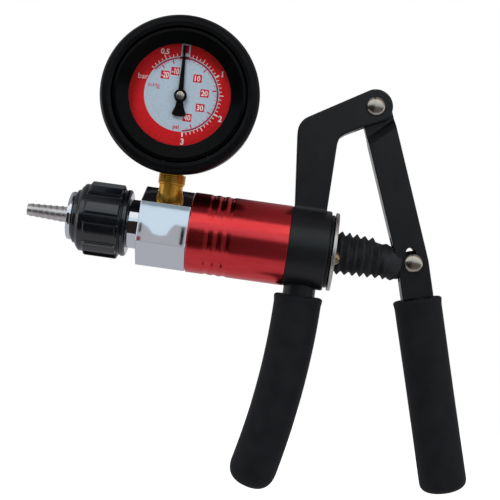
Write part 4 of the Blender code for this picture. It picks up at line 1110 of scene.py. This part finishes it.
kept = [(steel, ["inlet_ball", "outlet_ball", "inlet_spring", "outlet_spring", "rod_nut", "pinion_arbor"]),
        (brass, ["inlet_cage", "outlet_cage", "rod_bush", "sector_gear", "movement_link", "bourdon_tube",
                 "movement_plate_back", "movement_plate_front", "movement_post_upper",
                 "movement_post_lower"]),
        (bareAluminium, ["piston"]),
        (sealRubber, ["barrel_seal", "piston_seal", "spindle_seal_front", "spindle_seal_rear"]),
        (enamel, ["gauge_case"])]
for material, names in kept:
    for name in names:
        node = frame["nodes"][name]
        node.data.materials.clear()
        node.data.materials.append(material)

print("stage: floor, cards, lamps and camera")

stageSet = {"floor": -1.45, "floorHalf": 12.0, "cardRadius": 1.3, "cardSteps": 24}

# curved cards in metres: name, from and to this elevation, tone, how far out of the round, left and right end
cards = [("overheadEnd", 58, 174, "96989C", 0.0, -5.0, -0.29),
         ("overheadLeft", 58, 174, "1A171A", 0.0, -0.29, -0.068),
         ("overheadRight", 58, 174, "8E878C", 0.0, -0.068, 5.0),
         ("sky", 30, 58, "FCFDFF", 0.0, -5.0, 5.0),
         ("skyLow", 10, 30, "DCECF6", 0.01, -5.0, 5.0),
         ("horizonLeft", -46, 12.6, "2A2220", -0.01, -5.0, -0.087),
         ("horizonRight", -46, 8, "6A666A", -0.02, -0.087, 5.0),
         ("table", -176, -46, "B6B5BC", 0.0, -5.0, 5.0)]


def setUpCard(name, shape, colour):
    # a flat even tone that shows only in what is polished
    sheet = toObject(name, shape)
    material = bpy.data.materials.new(name + "Tone")
    material.use_nodes = True
    tree = material.node_tree
    tree.nodes.remove(tree.nodes["Principled BSDF"])
    glow = addNode(tree, "ShaderNodeEmission", {"Color": toLinear(colour), "Strength": 1.0})
    tree.links.new(glow.outputs["Emission"], tree.nodes["Material Output"].inputs["Surface"])
    sheet.data.materials.append(material)
    sheet.visible_camera = False
    sheet.visible_diffuse = False
    sheet.visible_shadow = False


def curvedCards():
    # sheets curved round the barrel, from one elevation to another; 0 is level in front, 90 overhead
    steps = stageSet["cardSteps"]
    for name, start, end, colour, further, left, right in cards:
        radius = stageSet["cardRadius"] + further
        shape = bmesh.new()
        rows = []
        for i in range(steps + 1):
            a = math.radians(start + (end - start) * i / steps)
            rows.append([shape.verts.new((x, -radius * math.cos(a), axisZ * mm + radius * math.sin(a)))
                         for x in (left, right)])
        for a, b in zip(rows, rows[1:]):
            shape.faces.new((a[0], a[1], b[1], b[0]))
        setUpCard(name, shape, colour)


skylineCard = {"line": [(-53, 1.2), (-48, 1.0), (-44.5, -1.0), (-42, -3.4), (-38.5, -3.9), (-35, -3.3),
                        (-33, 0.5), (-31, 2.6), (-27, 2.2), (-22, 2.4)],
               "low": -8.4, "away": 1150.0,
               "nearer": 40.0, "tone": "B2B1B6",
               # painted reflections in the block's front facet: left and right end, low and high edge, and
               # tone of each patch
               "marks": [(-27.2, -25.4, -7.0, 2.0, "0A0B0C"), (-50.0, -48.7, -3.6, 1.4, "1C1D20"),
                         (-50.6, -48.4, -7.6, -5.6, "7E2F2E"), (-54.0, -21.0, 9.9, 14.0, "8D99A4")]}


def skyline():
    # a low grey card in front, which the block's front facet shows along its lower part, and patches nearer
    # than it that are painted reflections in that facet: a dark line, a dark spot, a red-brown spot and a
    # grey-blue band
    tilt = math.radians(block["spin"])
    normal = Vector((0, -math.cos(tilt), math.sin(tilt)))
    flat = block["corner"] * math.cos(math.radians(30))
    eye = Vector((cameraView["x"], -cameraView["away"], axisZ))

    def mirrored(x, z, nearer):
        place = Vector((x + zeroX, -(flat - z * math.sin(tilt)) / math.cos(tilt), z + axisZ))
        ray = (place - eye).normalized()
        return (place + ray.reflect(normal) * (skylineCard["away"] - nearer)) * mm

    line, low = skylineCard["line"], skylineCard["low"]
    ground = [(line[-1][0], low), (line[0][0], low)]
    sheets = [("skyline", rounded(line, 1.5, closed=False) + ground, skylineCard["tone"], 0.0)]
    # each patch is a painted reflection, set a little nearer than the grey card
    for i, (left, right, low, high, tone) in enumerate(skylineCard["marks"]):
        sheets.append(("mark%d" % i, [(left, low), (left, high), (right, high), (right, low)], tone,
                       skylineCard["nearer"]))
    for name, outline, tone, nearer in sheets:
        shape = bmesh.new()
        shape.faces.new([shape.verts.new(mirrored(x, z, nearer)) for x, z in outline])
        setUpCard(name, shape, tone)


def whiteToSee(tree):
    # 1 for rays from the camera and for what metal and glass show
    path = addNode(tree, "ShaderNodeLightPath")
    seen = path.outputs["Is Camera Ray"]
    for kind in ("Is Glossy Ray", "Is Transmission Ray"):
        seen = addNode(tree, "ShaderNodeMath", links={0: seen, 1: path.outputs[kind]},
                       operation="MAXIMUM").outputs[0]
    return seen


def makeFloor():
    shape = bmesh.new()
    bmesh.ops.create_grid(shape, x_segments=8, y_segments=8, size=stageSet["floorHalf"])
    bmesh.ops.translate(shape, verts=shape.verts, vec=(0, 0, stageSet["floor"]))
    floor = toObject("floor", shape)
    material = bpy.data.materials.new("paleFloor")
    material.use_nodes = True
    tree = material.node_tree
    shader = tree.nodes["Principled BSDF"]
    shader.inputs["Base Color"].default_value = toLinear("F4F4F4")
    shader.inputs["Roughness"].default_value = 0.9
    shader.inputs["Specular IOR Level"].default_value = 0.0
    shader.inputs["Emission Color"].default_value = (1, 1, 1, 1)
    fill = addNode(tree, "ShaderNodeMath", {1: 0.75}, {0: whiteToSee(tree)}, operation="MULTIPLY")
    tree.links.new(fill.outputs[0], shader.inputs["Emission Strength"])
    floor.data.materials.append(material)


def makeWorld():
    world = bpy.data.worlds.new("studio")
    bpy.context.scene.world = world
    world.use_nodes = True
    tree = world.node_tree
    level = addNode(tree, "ShaderNodeMapRange", {"To Min": 0.5, "To Max": 1.0}, {"Value": whiteToSee(tree)})
    tree.nodes["Background"].inputs["Color"].default_value = (1, 1, 1, 1)
    tree.links.new(level.outputs["Result"], tree.nodes["Background"].inputs["Strength"])


def lamp(name, place, size, watts, aim=(0, 0, 0.05)):
    # a round area lamp that leaves no glare of its own in what is polished
    data = bpy.data.lights.new(name, "AREA")
    data.shape = "DISK"
    data.size = size
    data.energy = watts
    light = bpy.data.objects.new(name, data)
    bpy.context.scene.collection.objects.link(light)
    light.location = place
    light.visible_glossy = False
    light.rotation_euler = (Vector(aim) - Vector(place)).to_track_quat("-Z", "Y").to_euler()


cameraView = {"x": -9.0, "away": 650.0, "roll": 8.0, "frame": 246.9, "shiftX": -0.0612, "shiftY": -0.0106}


def makeCamera():
    # level with the barrel, square to its side and rolled; the frame is 246.9 mm wide at the barrel
    data = bpy.data.cameras.new("view")
    data.sensor_width = 36.0
    data.lens = data.sensor_width * cameraView["away"] / cameraView["frame"]
    data.shift_x = cameraView["shiftX"]
    data.shift_y = cameraView["shiftY"]
    camera = bpy.data.objects.new("view", data)
    bpy.context.scene.collection.objects.link(camera)
    level = Vector((0, 1, 0)).to_track_quat("-Z", "Y").to_matrix()
    turn = level @ Matrix.Rotation(math.radians(cameraView["roll"]), 3, "Z")
    place = Vector((cameraView["x"], -cameraView["away"], axisZ)) * mm
    camera.matrix_world = Matrix.Translation(place) @ turn.to_4x4()
    bpy.context.scene.camera = camera


curvedCards()
skyline()
makeFloor()
makeWorld()
lamp("key", (-0.5, -1.05, 1.15), 0.7, 12.0)
lamp("fill", (1.1, -0.9, 0.5), 0.8, 4.0)
lamp("rear", (0.3, 1.3, 1.1), 0.8, 6.0)
makeCamera()
bpy.context.scene.view_settings.view_transform = "Standard"

bpy.context.view_layer.update()
